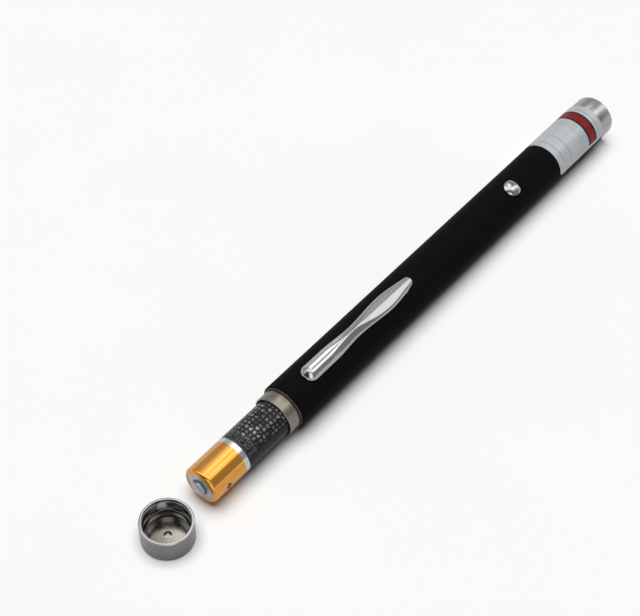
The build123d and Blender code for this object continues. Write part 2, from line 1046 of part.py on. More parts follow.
def cell_can(tip_x):
    """Steel can of a cell: the raised end, the shoulder and the long wall."""
    plate_x = tip_x + nub_height
    end_x = tip_x + cell_length - base_proud
    nub = nub_diameter / 2
    inside = can_radius - can_wall
    return turned(
        [
            (tip_x, 0),
            (tip_x, nub),
            (plate_x, nub),
            (plate_x, can_radius),
            (end_x, can_radius),
            (end_x, can_mouth_radius),
            (end_x - can_wall, can_mouth_radius),
            (end_x - can_wall, inside),
            (plate_x + can_wall, inside),
            (plate_x + can_wall, 0),
        ],
        [
            (1, nub_edge_round),
            (3, can_shoulder_round),
            (4, can_shoulder_round),
            (7, can_shoulder_round - can_wall),
            (8, can_shoulder_round - can_wall),
        ],
    )


def cell_core(tip_x):
    """What fills the can, in one piece."""
    inside = can_radius - can_wall
    front = tip_x + nub_height + can_wall
    back = tip_x + cell_length - base_proud - seal_depth
    return turned(
        [(front, 0), (front, inside), (back, inside), (back, 0)],
        [(1, can_shoulder_round - can_wall)],
    )


def cell_jacket(tip_x):
    """Printed sleeve shrunk over the can, turned in over both of its ends."""
    plate_x = tip_x + nub_height
    end_x = tip_x + cell_length - base_proud
    outer_round = can_shoulder_round + jacket_thickness
    return turned(
        [
            (plate_x - jacket_thickness, jacket_lip_radius),
            (plate_x - jacket_thickness, cell_radius),
            (end_x + jacket_thickness, cell_radius),
            (end_x + jacket_thickness, jacket_lip_radius),
            (end_x, jacket_lip_radius),
            (end_x, can_radius),
            (plate_x, can_radius),
            (plate_x, jacket_lip_radius),
        ],
        [
            (1, outer_round),
            (2, outer_round),
            (5, can_shoulder_round),
            (6, can_shoulder_round),
        ],
    )


def cell_seal(tip_x):
    """Plastic ring between the can's mouth and the base."""
    end_x = tip_x + cell_length - base_proud
    return turned(
        [
            (end_x - seal_depth, base_radius),
            (end_x - seal_depth, can_mouth_radius - press_clearance),
            (end_x, can_mouth_radius - press_clearance),
            (end_x, base_radius),
        ]
    )


def cell_base(tip_x):
    """Flat contact plate that closes the other end of the cell."""
    end_x = tip_x + cell_length
    radius = base_radius - press_clearance
    return turned(
        [
            (end_x - base_proud - seal_depth, 0),
            (end_x - base_proud - seal_depth, radius),
            (end_x, radius),
            (end_x, 0),
        ],
        [(2, base_edge_round)],
    )


# Tail cap


def cap_shell():
    """Bright cup-shaped cap: rounded base, mouth, long bore and a narrower well."""
    mouth_z = cap_height - cap_mouth_depth
    bore_z = cap_height - cap_bore_depth
    return turned_upright(
        [
            (0, 0),
            (cap_radius, 0),
            (cap_radius, cap_height),
            (cap_mouth_radius, cap_height),
            (cap_mouth_radius, mouth_z),
            (cap_bore_radius, mouth_z),
            (cap_bore_radius, bore_z),
            (cap_well_radius, bore_z),
            (cap_well_radius, cap_floor),
            (0, cap_floor),
        ],
        [(1, cap_base_round), (2, cap_rim_round)],
    )


def cap_contact():
    """Contact plate on the cap's floor, with a pip in the middle."""
    top = cap_floor + cap_contact_thickness
    plate = turned_upright(
        [
            (0, cap_floor),
            (cap_contact_radius, cap_floor),
            (cap_contact_radius, top),
            (0, top),
        ]
    )
    pip_radius = cap_pip_diameter / 2
    pip = turned_upright(
        [
            (0, top),
            (pip_radius, top),
            (pip_radius, top + cap_pip_height),
            (0, top + cap_pip_height),
        ],
        [(2, cap_pip_height / 2)],
    )
    return plate + pip


# Writing the pieces


def write(name, piece, place):
    """Places a piece on the table and writes it."""
    export_step(place * piece, "parts/" + name + ".step")


def main():
    os.makedirs("parts", exist_ok=True)
    for make in (
        barrel_tube,
        tail_collar,
        front_ferrule,
        label_wrap,
        pocket_clip,
        button_cap,
        button_stem,
        switch_base,
        switch_cover,
        switch_plunger,
        switch_terminals,
        driver_board,
        trim_potentiometer,
        driver_transistor,
        chip_resistors,
        chip_capacitors,
        board_carrier,
        spring_plate,
        battery_spring,
        module_housing,
        laser_diode,
        diode_leads,
        lens_holder,
        collimating_lens,
        lens_spring,
    ):
        write(make.__name__, make(), barrel_on_table)
    dropped = barrel_on_table * Pos(0, 0, -cell_drop)
    for cell, tip_x in (
        ("outer", outer_tip_x),
        ("inner", outer_tip_x + cell_length),
    ):
        for make in (cell_can, cell_core, cell_jacket, cell_seal, cell_base):
            write(cell + "_" + make.__name__, make(tip_x), dropped)
    for make in (cap_shell, cap_contact):
        write(make.__name__, make(), cap_on_table)
    print("origin from the barrel's tail", round(origin_x, 4), round(origin_y, 4))
    print("travel of the cells", round(cell_travel, 3))


main()
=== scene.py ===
"""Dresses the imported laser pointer: smooth pieces, finishes, a camera and studio light."""

import math

import bmesh
import bpy
from mathutils import Matrix, Vector


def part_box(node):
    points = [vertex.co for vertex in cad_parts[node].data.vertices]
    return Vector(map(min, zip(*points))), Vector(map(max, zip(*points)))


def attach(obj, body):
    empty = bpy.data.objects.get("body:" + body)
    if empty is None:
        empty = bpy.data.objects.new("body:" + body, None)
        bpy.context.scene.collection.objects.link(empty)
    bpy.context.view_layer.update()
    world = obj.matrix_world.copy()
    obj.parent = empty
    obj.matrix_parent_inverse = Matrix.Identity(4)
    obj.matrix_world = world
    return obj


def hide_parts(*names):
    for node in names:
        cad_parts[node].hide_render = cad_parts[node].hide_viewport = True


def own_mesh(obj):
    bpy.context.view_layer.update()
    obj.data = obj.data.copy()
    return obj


bl_info = {
    "name": "Laser pointer",
    "version": (1, 0, 0),
    "blender": (4, 5, 0),
    "location": "View3D > Sidebar > Pointer",
    "description": "Smooth pieces, finishes, camera and light for a packed laser pointer",
    "category": "Object",
}

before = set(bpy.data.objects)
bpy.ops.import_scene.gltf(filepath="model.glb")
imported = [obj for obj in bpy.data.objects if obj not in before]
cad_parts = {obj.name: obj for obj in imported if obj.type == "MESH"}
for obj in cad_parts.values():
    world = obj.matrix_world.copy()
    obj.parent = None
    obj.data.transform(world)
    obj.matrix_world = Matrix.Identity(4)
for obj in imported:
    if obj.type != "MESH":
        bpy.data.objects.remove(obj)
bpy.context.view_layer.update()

# Lengths are in millimetres and angles in degrees. Places are measured from the middle of the
# barrel's tail face, with +X towards the nose, and clock angles from straight up towards -Y.

MM = 0.001
LOW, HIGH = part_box("barrel_tube")
TAIL = Vector((LOW.x, (LOW.y + HIGH.y) / 2, (LOW.z + HIGH.z) / 2))


def ends_of(node):
    """Lowest and highest place of a node along the barrel."""
    low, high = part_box(node)
    return (low.x - TAIL.x) / MM, (high.x - TAIL.x) / MM


# Barrel and tail collar
BARREL_RADIUS = (HIGH.z - LOW.z) / 2 / MM
BARREL_LENGTH = (HIGH.x - LOW.x) / MM
BORE_RADIUS = 5.5
COLLAR_START = ends_of("tail_collar")[0]
LIP_RADIUS = 6.3
LIP_DEPTH = 0.6
SEAT_RADIUS = 5.9
SEAT_DEPTH = 7.5
SEAT_PLAY = 0.02
GROOVE_RADIUS = 5.7
GROOVE_START = -0.6
GROOVE_END = -0.15

# Front ferrule
NOSE = ends_of("front_ferrule")[1]
FERRULE_INSET = 0.18
SPIGOT_LENGTH = 6.5
SPIGOT_RADIUS = 5.48
MODULE_SEAT_RADIUS = 4.67
FRONT_WALL = 2.4
FUNNEL_RADIUS = 3.2
FUNNEL_DEPTH = 1.2
APERTURE_RADIUS = 1.75

# Label: where it starts and ends round the barrel, and its print
LABEL_START = -160.0
LABEL_END = 93.0
LABEL_CORNER = 1.2
BLACK_BAND = (131.5, 135.6)
BLACK_BAND_END = 83.0
RED_BAND = (132.35, 134.75)
RED_BAND_END = 79.0
COOL_BAND = (127.9, 131.5)
RULES = ((118.7, -30, 60), (122.4, -24, 66), (136.8, -30, 66))
RULE_HALF = 0.14

# Button
BUTTON_ANGLE = 18.0
BUTTON_PLACE = sum(ends_of("button_cap")) / 2
BUTTON_RADIUS = 2.5
BUTTON_PLAY = 0.12
BUTTON_EDGE = 0.1
BUTTON_WALL = 1.3
FLANGE_RADIUS = 3.0
FLANGE_FOOT = 3.96
FLANGE_TOP = 4.46
STEM_SEAT_RADIUS = 1.6

# Clip: its lug, slot and bead, then stations of (place along the barrel, value)
CLIP_ANGLE = 10.0
CLIP_START, CLIP_END = ends_of("pocket_clip")
CLIP_LENGTH = CLIP_END - CLIP_START
CLIP_CLEARANCE = 0.07
CLIP_MARGIN = 0.01
LUG_START = CLIP_START + 3.4
LUG_END = CLIP_START + 6.4
LUG_HALF = 0.8
LUG_TOP = 8.2
SLOT_PLAY = 0.2
BEAD_PLACE = CLIP_START + 0.74 * CLIP_LENGTH
BEAD_RADIUS = 0.62
BEAD_HEIGHT = 7.37
CLIP_RIDGE = [(6.7, 8.65), (16.2, 8.65), (27.0, 8.28), (39.0, 7.87), (50.3, 7.5)]
CLIP_HALF = [(6.7, 2.47), (17.0, 2.45), (26.8, 1.84), (39.8, 2.6), (46.7, 2.02), (50.3, 1.28)]
CLIP_ROOF = [
    (6.7, 1.1), (15.5, 1.08), (21.0, 0.55), (26.5, 0.15), (31.0, 0.96), (34.0, 1.6),
    (37.0, 1.98), (40.0, 2.1), (43.0, 1.88), (46.0, 1.43), (50.3, 0.95),
]
CLIP_FLANK = [(6.7, 42.0), (16.0, 42.0), (26.5, 33.0), (40.0, 42.0), (50.3, 42.0)]
CLIP_PITCH = [(6.7, 11.0), (16.0, 11.0), (26.0, 17.0), (38.0, 16.0), (50.3, 16.0)]
CLIP_CREST = [(6.7, 0.3), (18.0, 0.25), (23.0, 0.13), (28.0, 0.1), (31.5, 0.004), (50.3, 0.004)]
FOLD_ROUND = 0.14
RIM_TURN = 24.0
RIM_SHARE = 0.8
NOSE_CORNER = 2.4
TIP_CORNER = 0.8

# Cells: can and sleeve, then the print, measured from the cell's tip
CAN_RADIUS = 5.13
CAN_WALL = 0.25
TERMINAL_RADIUS = 1.9
TERMINAL_HEIGHT = 1.1
BASE_RADIUS = 3.9
SLEEVE_WALL = 0.12
SLEEVE_PLAY = 0.005
SLEEVE_RADIUS = CAN_RADIUS + SLEEVE_WALL
SLEEVE_MOUTH = 4.1
RING_START = 12.2
RING_END = 13.6
PATCH_LENGTH = 1.26
PATCH_WIDTH = 1.32
PATCHES_START = 16.6
PATCHES_END = 63.0
PLUS_PLACE = 5.95
PLUS_ANGLE = 89.5

# Circuit board, upright from the barrel's axis where the button is
BOARD_LEVEL = 0.73
BOARD_HALF = 0.49

# Cap, measured from its foot or, for depths, from its rim
CAP_LOW, CAP_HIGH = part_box("cap_shell")
CAP_FOOT = Vector(((CAP_LOW.x + CAP_HIGH.x) / 2, (CAP_LOW.y + CAP_HIGH.y) / 2, CAP_LOW.z))
CAP_RADIUS = (CAP_HIGH.x - CAP_LOW.x) / 2 / MM
CAP_HEIGHT = (CAP_HIGH.z - CAP_LOW.z) / MM
CAP_FLOOR = 0.6
MOUTH_RADIUS = 6.1
LEDGE_DEPTH = 0.8
THREAD_RADIUS = 5.94
THREAD_ROOT = 6.05
THREAD_DEPTH = 1.0
THREAD_PITCH = 0.45
THREAD_TURNS = 6
WELL_RADIUS = 5.3
WELL_DEPTH = 4.3
CONTACT_RADIUS = 5.1
CONTACT_TOP = 0.9
CONTACT_PIP = [(CONTACT_TOP, 1.05), (1.02, 0.75), (1.16, 0.3), (1.18, 0.0)]

# How many flat faces stand for a round one
SEGMENTS = 192
CAN_SEGMENTS = 160
SMALL_SEGMENTS = 96
BEAD_SEGMENTS = 40
TINY = 1e-6


# Shapes


def rounded(corners, rounds, steps=6):
    """A closed outline with an arc in place of some of its corners."""
    outline = []
    count = len(corners)
    for number, place in enumerate(corners):
        corner = Vector(place)
        size = rounds.get(number, 0)
        if not size:
            outline.append((corner.x, corner.y))
            continue
        back = (Vector(corners[number - 1]) - corner).normalized()
        onward = (Vector(corners[(number + 1) % count]) - corner).normalized()
        half = back.angle(onward) / 2
        middle = corner + (back + onward).normalized() * size / math.sin(half)
        first = corner + back * size / math.tan(half) - middle
        last = corner + onward * size / math.tan(half) - middle
        turn = first.angle(last)
        for step in range(steps + 1):
            share = step / steps
            arm = first * math.sin((1 - share) * turn) + last * math.sin(share * turn)
            spot = middle + arm / math.sin(turn)
            outline.append((spot.x, spot.y))
    return outline


def stepped(along, radius, *turns):
    """An outline of square steps: its first corner, then by turns the next radius and place."""
    outline = [(along, radius)]
    for number, turn in enumerate(turns):
        along, radius = (turn, radius) if number % 2 else (along, turn)
        outline.append((along, radius))
    return outline


def lathe(outline, segments=SEGMENTS, upright=False):
    """Points and faces of a closed outline of (place along, radius) turned about X or Z."""
    points, faces, rings = [], [], []
    for along, radius in outline:
        first = len(points)
        if radius < TINY:
            points.append((0, 0, along) if upright else (along, 0, 0))
            rings.append([first] * segments)
            continue
        for segment in range(segments):
            angle = 2 * math.pi * segment / segments
            across, up = radius * math.sin(angle), radius * math.cos(angle)
            points.append((across, up, along) if upright else (along, across, up))
        rings.append(range(first, first + segments))
    for ring, following in zip(rings, rings[1:] + rings[:1]):
        for segment in range(segments):
            after = (segment + 1) % segments
            loop = dict.fromkeys((ring[segment], ring[after], following[after], following[segment]))
            if len(loop) > 2:
                faces.append(list(loop))
    return points, faces


def sheet(rows, columns, place):
    """Points and faces of a sheet, from the place of each row and column."""
    points = [place(row, column) for row in range(rows + 1) for column in range(columns + 1)]
    faces = []
    for row in range(rows):
        for column in range(columns):
            corner = row * (columns + 1) + column
            faces.append((corner, corner + columns + 1, corner + columns + 2, corner + 1))
    return points, faces


def block(low, high):
    """Points and faces of a straight-sided block."""
    points = [(x, y, z) for x in (low[0], high[0]) for y in (low[1], high[1]) for z in (low[2], high[2])]
    faces = [(0, 1, 3, 2), (4, 6, 7, 5), (0, 4, 5, 1), (2, 3, 7, 6), (0, 2, 6, 4), (1, 5, 7, 3)]
    return points, faces


def tilted(shape, angle):
    """A shape turned about the barrel's axis by a clock angle."""
    turn = Matrix.Rotation(math.radians(angle), 3, "X")
    return [turn @ Vector(point) for point in shape[0]], shape[1]


def moved(shape, x=0.0, y=0.0, z=0.0):
    """A shape moved over."""
    return [Vector(point) + Vector((x, y, z)) for point in shape[0]], shape[1]


def joined(*shapes):
    """Several shapes as one."""
    points, faces = [], []
    for shape_points, shape_faces in shapes:
        first = len(points)
        points.extend(shape_points)
        faces.extend([[first + corner for corner in face] for face in shape_faces])
    return points, faces


def corner_inset(radius, distance):
    """How far a rounded corner draws in a side, at a distance from the end."""
    short = max(radius - distance, 0)
    return radius - math.sqrt(max(radius**2 - short**2, 0))


def new_object(name, shape, origin=TAIL):
    """A mesh object from a shape whose places are measured from an origin."""
    points, faces = shape
    mesh = bpy.data.meshes.new(name)
    mesh.from_pydata([origin + Vector(point) * MM for point in points], [], faces)
    made = bpy.data.objects.new(name, mesh)
    bpy.context.scene.collection.objects.link(made)
    return made


def settle(made):
    """Applies an object's modifiers, merges its doubles and turns its faces outwards."""
    if made.modifiers:
        bpy.context.view_layer.update()
        graph = bpy.context.evaluated_depsgraph_get()
        mesh = bpy.data.meshes.new_from_object(made.evaluated_get(graph))
        made.modifiers.clear()
        made.data = mesh
    work = bmesh.new()
    work.from_mesh(made.data)
    bmesh.ops.remove_doubles(work, verts=work.verts, dist=1e-7)
    bmesh.ops.recalc_face_normals(work, faces=work.faces)
    work.to_mesh(made.data)
    work.free()
    return made


def add_modifier(made, kind, **settings):
    """Adds a modifier with its settings."""
    modifier = made.modifiers.new(kind.lower(), kind)
    for name, value in settings.items():
        setattr(modifier, name, value)
    return modifier


def cut_away(made, shape):
    """Cuts a shape out of a piece."""
    cutter = settle(new_object("cutter", shape))
    add_modifier(made, "BOOLEAN", operation="DIFFERENCE", solver="EXACT", object=cutter)
    settle(made)
    bpy.data.objects.remove(cutter)


def dress(made, material, body, slot, *nodes, sharp=32):
    """Shades a finished piece, gives it its material and body, and hides the nodes it stands for; its slot is
    not used.
    """
    for face in made.data.polygons:
        face.use_smooth = True
    made.data.set_sharp_from_angle(angle=math.radians(sharp))
    made.data.name = made.name
    made.data.materials.clear()
    made.data.materials.append(material)
    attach(made, body)
    if nodes:
        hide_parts(*nodes)


def piece(name, shape, material, *ride, origin=TAIL, sharp=32):
    """A finished piece, from its shape to the nodes that it stands for."""
    dress(settle(new_object(name, shape, origin)), material, *ride, sharp=sharp)


def recoat(node, material):
    """Gives a finish to a node that keeps its own shape."""
    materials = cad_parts[node].data.materials
    materials.clear()
    materials.append(material)


# Node trees


class Value:
    """A number, place or colour in a node tree; arithmetic on numbers adds Math nodes."""

    def __init__(self, tree, node, socket):
        self.tree, self.node, self.socket = tree, node, socket

    def out(self, name):
        return Value(self.tree, self.node, self.node.outputs[name])

    def math(self, operation, *others):
        return self.tree.math(operation, self, *others)

    def __add__(self, other):
        return self.math("ADD", other)

    def __sub__(self, other):
        return self.math("SUBTRACT", other)

    def __rsub__(self, other):
        return self.tree.math("SUBTRACT", other, self)

    def __mul__(self, other):
        return self.math("MULTIPLY", other)

    def __truediv__(self, other):
        return self.math("DIVIDE", other)

    def __rtruediv__(self, other):
        return self.tree.math("DIVIDE", other, self)

    __radd__ = __add__
    __rmul__ = __mul__

    def split(self):
        """The three numbers of a place or colour."""
        parts = self.tree.add("ShaderNodeSeparateXYZ", {"Vector": self})
        return parts, parts.out("Y"), parts.out("Z")

    def stretched(self, *factors):
        """A place with each of its numbers multiplied."""
        return self.tree.add("ShaderNodeVectorMath", {0: self, 1: factors}, {"operation": "MULTIPLY"})

    def noise(self, scale, detail=3.0, roughness=0.6):
        inputs = {"Vector": self, "Scale": scale, "Detail": detail, "Roughness": roughness}
        return self.tree.add("ShaderNodeTexNoise", inputs)

    def rise(self, edge, soft):
        """0 below an edge and 1 above it, with a soft step."""
        inputs = {"Value": self, "From Min": edge - soft, "From Max": edge + soft}
        return self.tree.add("ShaderNodeMapRange", inputs, {"interpolation_type": "SMOOTHSTEP"})

    def band(self, low, high, soft):
        """1 between two edges and 0 outside them."""
        return self.rise(low, soft) * (1 - self.rise(high, soft))

    def ramp(self, *stops):
        return self.tree.add("ShaderNodeValToRGB", {"Fac": self}, {"stops": stops})

    def shaded(self, low, high, colour, share):
        """A colour that falls to a share of itself where a number is low."""
        return self.ramp((low, scaled(colour, share)), (high, colour))

    def mix(self, first, second):
        """From one colour to another as a number goes from 0 to 1."""
        return self.tree.add("ShaderNodeMix", {0: self, 6: first, 7: second}, {"data_type": "RGBA"}, 2)

    def bump(self, distance, strength):
        inputs = {"Height": self, "Distance": distance * MM, "Strength": strength}
        return self.tree.add("ShaderNodeBump", inputs)

    def surface(self, **sockets):
        """The material of this tree, once its shader is joined to its output."""
        inputs = {name.replace("_", " "): value for name, value in sockets.items()}
        shader = self.tree.add("ShaderNodeBsdfPrincipled", inputs)
        self.tree.add("ShaderNodeOutputMaterial", {"Surface": shader})
        return self.tree.owner


class Tree:
    """A node tree, and the one way in which nodes are added to it."""

    def __init__(self, nodes, owner=None):
        self.nodes, self.owner = nodes, owner

    def add(self, kind, inputs=None, settings=None, output=0):
        """Adds a node of a type, with its settings set first, then its sockets' values or links."""
        node = self.nodes.nodes.new(kind)
        for name, value in (settings or {}).items():
            if name == "stops":
                ramp = node.color_ramp
                while len(ramp.elements) < len(value):
                    ramp.elements.new(1.0)
                for element, (place, colour) in zip(ramp.elements, value):
                    element.position = place
                    element.color = (*colour, 1)
            else:
                setattr(node, name, value)
        for name, value in (inputs or {}).items():
            socket = node.inputs[name]
            if isinstance(value, Value):
                self.nodes.links.new(value.socket, socket)
            elif socket.type == "RGBA":
                socket.default_value = (*value, 1)
            else:
                socket.default_value = value
        return Value(self, node, node.outputs[output] if node.outputs else None)

    def math(self, operation, *values):
        return self.add("ShaderNodeMath", dict(enumerate(values)), {"operation": operation})

    def join(self, x, y, z):
        return self.add("ShaderNodeCombineXYZ", {"X": x, "Y": y, "Z": z})


def shader_tree(owner):
    """An empty shader tree for a material or a world."""
    owner.use_nodes = True
    owner.node_tree.nodes.clear()
    return Tree(owner.node_tree, owner)


def point_of(name, centre=TAIL, angle=0.0):
    """Where a point is in a new material: from a centre, and turned back by a clock angle."""
    tree = shader_tree(bpy.data.materials.new(name))
    turn = Matrix.Rotation(math.radians(-angle), 3, "X")
    inputs = {
        "Vector": tree.add("ShaderNodeTexCoord").out("Object"),
        "Location": -(turn @ (Vector(centre) / MM)),
        "Rotation": (math.radians(-angle), 0, 0),
        "Scale": (1 / MM, 1 / MM, 1 / MM),
    }
    return tree.add("ShaderNodeMapping", inputs, {"vector_type": "POINT"})


def scaled(colour, factor):
    """A colour made darker or lighter by a factor."""
    return [channel * factor for channel in colour]


def clock(y, z):
    """Clock angle about the barrel's axis."""
    return (0 - y).math("ARCTAN2", z) * math.degrees(1)


# Finishes


def paint_finish(colours):
    """Matte black paint: a fine grain, and faint rubbed and dusty patches."""
    place = point_of("black_paint")
    patches = place.noise(0.16, 4.0, 0.55)
    specks = place.noise(5.0, 1.0, 0.4).rise(0.73, 0.02)
    colour = patches.mix(colours.paint, scaled(colours.paint, 1.7))
    return place.surface(
        Base_Color=(specks * 0.15).mix(colour, (0.03, 0.03, 0.03)),
        Roughness=patches * 0.12 + (colours.matte - 0.06),
        Specular_IOR_Level=0.015,
        Normal=place.noise(9.0).bump(0.012, 0.35),
    )


def plating_finish(name, colour, dull, angle, scratches, wave):
    """Bright plating with fine scratches and slight waves from pressing or turning."""
    place = point_of(name, TAIL, angle)
    fine = place.stretched(*scratches).noise(2.5)
    broad = place.noise(0.5, 2.0, 0.5)
    return place.surface(
        Base_Color=(fine * 0.6 + broad * 0.4).shaded(0.3, 0.65, colour, 0.86),
        Metallic=1.0,
        Roughness=fine.rise(0.55, 0.2) * dull * 0.5 + dull * 0.75,
        Normal=(fine * 0.1 + broad).bump(wave, 0.15),
    )


def collar_finish(colours):
    """Warm nickel, brushed round the collar, with painted shade in the groove behind its lip."""
    place = point_of("brushed_nickel")
    rings = place.stretched(14.0, 0.25, 0.25).noise(1.0, 4.0, 0.7)
    patches = place.noise(0.7)
    # Painted shade: the groove behind the lip is painted near-black brown, and made duller and less metallic
    groove = place.split()[0].band(GROOVE_START - 0.06, GROOVE_END + 0.05, 0.06)
    colour = (rings * 0.7 + patches * 0.3).shaded(0.32, 0.62, colours.nickel, 0.68)
    return place.surface(
        Base_Color=(groove * 0.85).mix(colour, (0.03, 0.018, 0.01)),
        Metallic=1.0 - groove * 0.5,
        Roughness=0.26 + rings * 0.18 + groove * 0.2,
        Normal=rings.bump(0.02, 0.5),
    )


def ferrule_finish(colours):
    """Satin plating with turning marks round it and a burnished front edge."""
    place = point_of("satin_plating")
    marks = place.stretched(9.0, 0.3, 0.3).noise(1.0, 4.0, 0.65)
    broad = place.noise(0.35, 2.0, 0.5)
    edge = place.split()[0].rise(NOSE - 0.45, 0.15)
    return place.surface(
        Base_Color=(marks * 0.5 + broad * 0.5).shaded(0.3, 0.65, colours.plating, 0.8),
        Metallic=1.0,
        Roughness=0.24 + marks * 0.12 - edge * 0.1,
        Normal=marks.bump(0.01, 0.4),
    )


def label_finish(colours):
    """Silver-white foil with one red band between black lines, and fine rules."""
    place = point_of("label_foil")
    x, y, z = place.split()
    angle = clock(y, z)
    fibres = place.stretched(0.6, 3.0, 3.0).noise(2.2, 4.0, 0.6)
    tone = place.noise(0.28, 2.0, 0.5)
    black = x.band(*BLACK_BAND, 0.05) * (1 - angle.rise(BLACK_BAND_END, 0.6))
    red = x.band(*RED_BAND, 0.05) * (1 - angle.rise(RED_BAND_END, 0.5))
    rules = 0.0
    for middle, start, end in RULES:
        rule = x.band(middle - RULE_HALF, middle + RULE_HALF, 0.05)
        rules = rules + rule * angle.band(start, end, 0.5)
    colour = (fibres * 0.45 + tone * 0.55).shaded(0.3, 0.7, colours.foil, 0.86)
    colour = (x.band(*COOL_BAND, 0.3) * 0.35).mix(colour, (0.4, 0.44, 0.48))
    colour = (rules * 0.55).mix(colour, (0.11, 0.115, 0.12))
    colour = black.mix(colour, (0.012, 0.012, 0.014))
    return place.surface(
        Base_Color=red.mix(colour, fibres.mix(colours.stripe, (0.16, 0.006, 0.01))),
        Metallic=0.35 - black * 0.35,
        Roughness=0.36 + fibres * 0.16,
        Specular_IOR_Level=0.25,
        Normal=fibres.bump(0.01, 0.3),
    )


def patch_pattern(grid, feature):
    """Uneven cells in rows: their distance to the edge, or their own tints."""
    settings = {"voronoi_dimensions": "2D", "feature": feature}
    inputs = {"Vector": grid, "Scale": 1.0, "Randomness": 0.4}
    return grid.tree.add("ShaderNodeTexVoronoi", inputs, settings)


def sleeve_finish(name, colours, tip, centre):
    """Printed cell sleeve: amber end, silver ring, and a charcoal body with pale patches."""
    place = point_of(name, centre)
    x, y, z = place.split()
    along = x - tip
    angle = clock(y, z)
    around = angle * math.radians(SLEEVE_RADIUS)
    in_ring = along.rise(RING_START, 0.04)
    in_body = along.rise(RING_END, 0.04)
    plain = angle.rise(PATCHES_END, 1.5)
    fine = place.noise(6.0)
    streaks = place.stretched(0.5, 3.0, 3.0).noise(1.6)

    grid = place.tree.join(along / PATCH_LENGTH, around / PATCH_WIDTH, 0.0)
    tint = patch_pattern(grid, "F1").out("Color").split()[0]
    patches = patch_pattern(grid, "DISTANCE_TO_EDGE").rise(0.2, 0.13) * (0.12 + tint * tint * 1.1)
    patches = patches * along.rise(PATCHES_START, 0.7) * (1 - plain)
    speckle = place.noise(2.9, 2.0, 0.5).rise(0.53, 0.05)
    speckle = speckle * (1 - along.rise(PATCHES_START + 0.4, 0.8)) * (1 - plain)
    seam = angle.band(PATCHES_END - 3.5, PATCHES_END + 0.5, 0.8) * along.rise(PATCHES_START - 0.1, 1.5)
    wisps = place.tree.join(x * 0.9 + around * 0.8, around * 0.35, 0.0).noise(1.3)
    dark = (plain * (0.2 + wisps * 0.5)).mix(colours.charcoal, (0.045, 0.047, 0.054))
    dark = (speckle * 0.8).mix(dark, (0.16, 0.16, 0.165))
    dark = patches.mix(dark, colours.patch)
    dark = seam.mix(dark, (0.004, 0.004, 0.004))
    dark = (fine * 0.3).mix(dark, (0.012, 0.012, 0.013))

    amber = streaks.shaded(0.3, 0.7, colours.amber, 0.86)
    silver = streaks.mix((0.6, 0.61, 0.63), (0.74, 0.75, 0.77))
    bars = []
    for length, width in ((1.05, 3.5), (0.32, 11.0)):
        bar = along.band(PLUS_PLACE - length, PLUS_PLACE + length, 0.08)
        bars.append(bar * angle.band(PLUS_ANGLE - width, PLUS_ANGLE + width, 0.8))
    plus = bars[0].math("MAXIMUM", bars[1])
    colour = in_body.mix(in_ring.mix(amber, silver), dark)
    metal = (1 - in_body) * 0.92 + in_body * patches * 0.75
    return place.surface(
        Base_Color=plus.mix(colour, (0.01, 0.006, 0.003)),
        Metallic=metal * (1 - plus),
        Roughness=0.12 + streaks * 0.05 + in_body * 0.16,
        Specular_IOR_Level=0.12,
        Coat_Weight=(1 - in_body) * (1 - plus) * 0.5,
        Coat_Roughness=0.1,
        Coat_IOR=1.5,
        Normal=(fine + in_body * patches).bump(0.012, 0.4),
    )


def can_finish(name, tip, centre):
    """Nickel-plated can, dulled round its terminal, with painted shade in the crease at the terminal's foot.
    """
    place = point_of(name, centre)
    x, y, z = place.split()
    out = (y * y + z * z).math("SQRT")
    grain = place.noise(3.0, 4.0, 0.6)
    # Painted shade: the crease round the foot of the terminal is painted dark, and made duller
    painted_crease_shade = out.band(TERMINAL_RADIUS - 0.12, TERMINAL_RADIUS + 0.45, 0.12) * (x - tip).rise(0.75, 0.15)
    colour = grain.ramp((0.3, (0.42, 0.42, 0.45)), (0.7, (0.66, 0.66, 0.7)))
    return place.surface(
        Base_Color=(painted_crease_shade * 0.8).mix(colour, (0.09, 0.085, 0.08)),
        Metallic=1.0 - painted_crease_shade * 0.4,
        Roughness=0.24 + grain * 0.16 + painted_crease_shade * 0.2,
        Normal=grain.bump(0.02, 0.4),
    )


def cap_finish(colours):
    """Bright plating of the cap, with painted shade: greyer down its outer wall, darker and warmer inside,
    and a painted highlight on a ring just under the ledge.
    """
    place = point_of("cap_plating", CAP_FOOT)
    x, y, z = place.split()
    out = (x * x + y * y).math("SQRT")
    # Painted shade inside the cap, up to just under its rim
    inside = (1 - out.rise(MOUTH_RADIUS + 0.06, 0.06)) * (1 - z.rise(CAP_HEIGHT - 0.12, 0.05))
    # Painted highlight: a bright ring on the wall just under the ledge
    ledge = z.band(CAP_HEIGHT - LEDGE_DEPTH - 0.45, CAP_HEIGHT - LEDGE_DEPTH - 0.03, 0.04)
    # Painted shade down the outer wall, below the rim
    wall = out.rise(CAP_RADIUS - 0.15, 0.06) * (1 - z.rise(CAP_HEIGHT - 0.35, 0.12))
    rings = place.stretched(0.3, 0.3, 6.0).noise(1.0)
    broad = place.noise(0.6, 3.0, 0.5)
    bright = (rings * 0.5 + broad * 0.5).shaded(0.3, 0.65, colours.plating, 0.85)
    # Painted shade of the outer wall, a darker reflection
    grey = broad.mix((0.14, 0.142, 0.15), (0.215, 0.217, 0.224))
    # Painted shade and reflections inside the cap: warm dark to cool grey
    painted_inner_shade = broad.mix((0.13, 0.118, 0.1), (0.32, 0.32, 0.335))
    outside = (wall * 0.82).mix(bright, grey)
    return place.surface(
        Base_Color=inside.mix(outside, ledge.mix(painted_inner_shade, (0.85, 0.86, 0.88))),
        Metallic=1.0,
        Roughness=0.12 + rings * 0.06 + wall * 0.1,
        Normal=rings.bump(0.006, 0.3),
    )


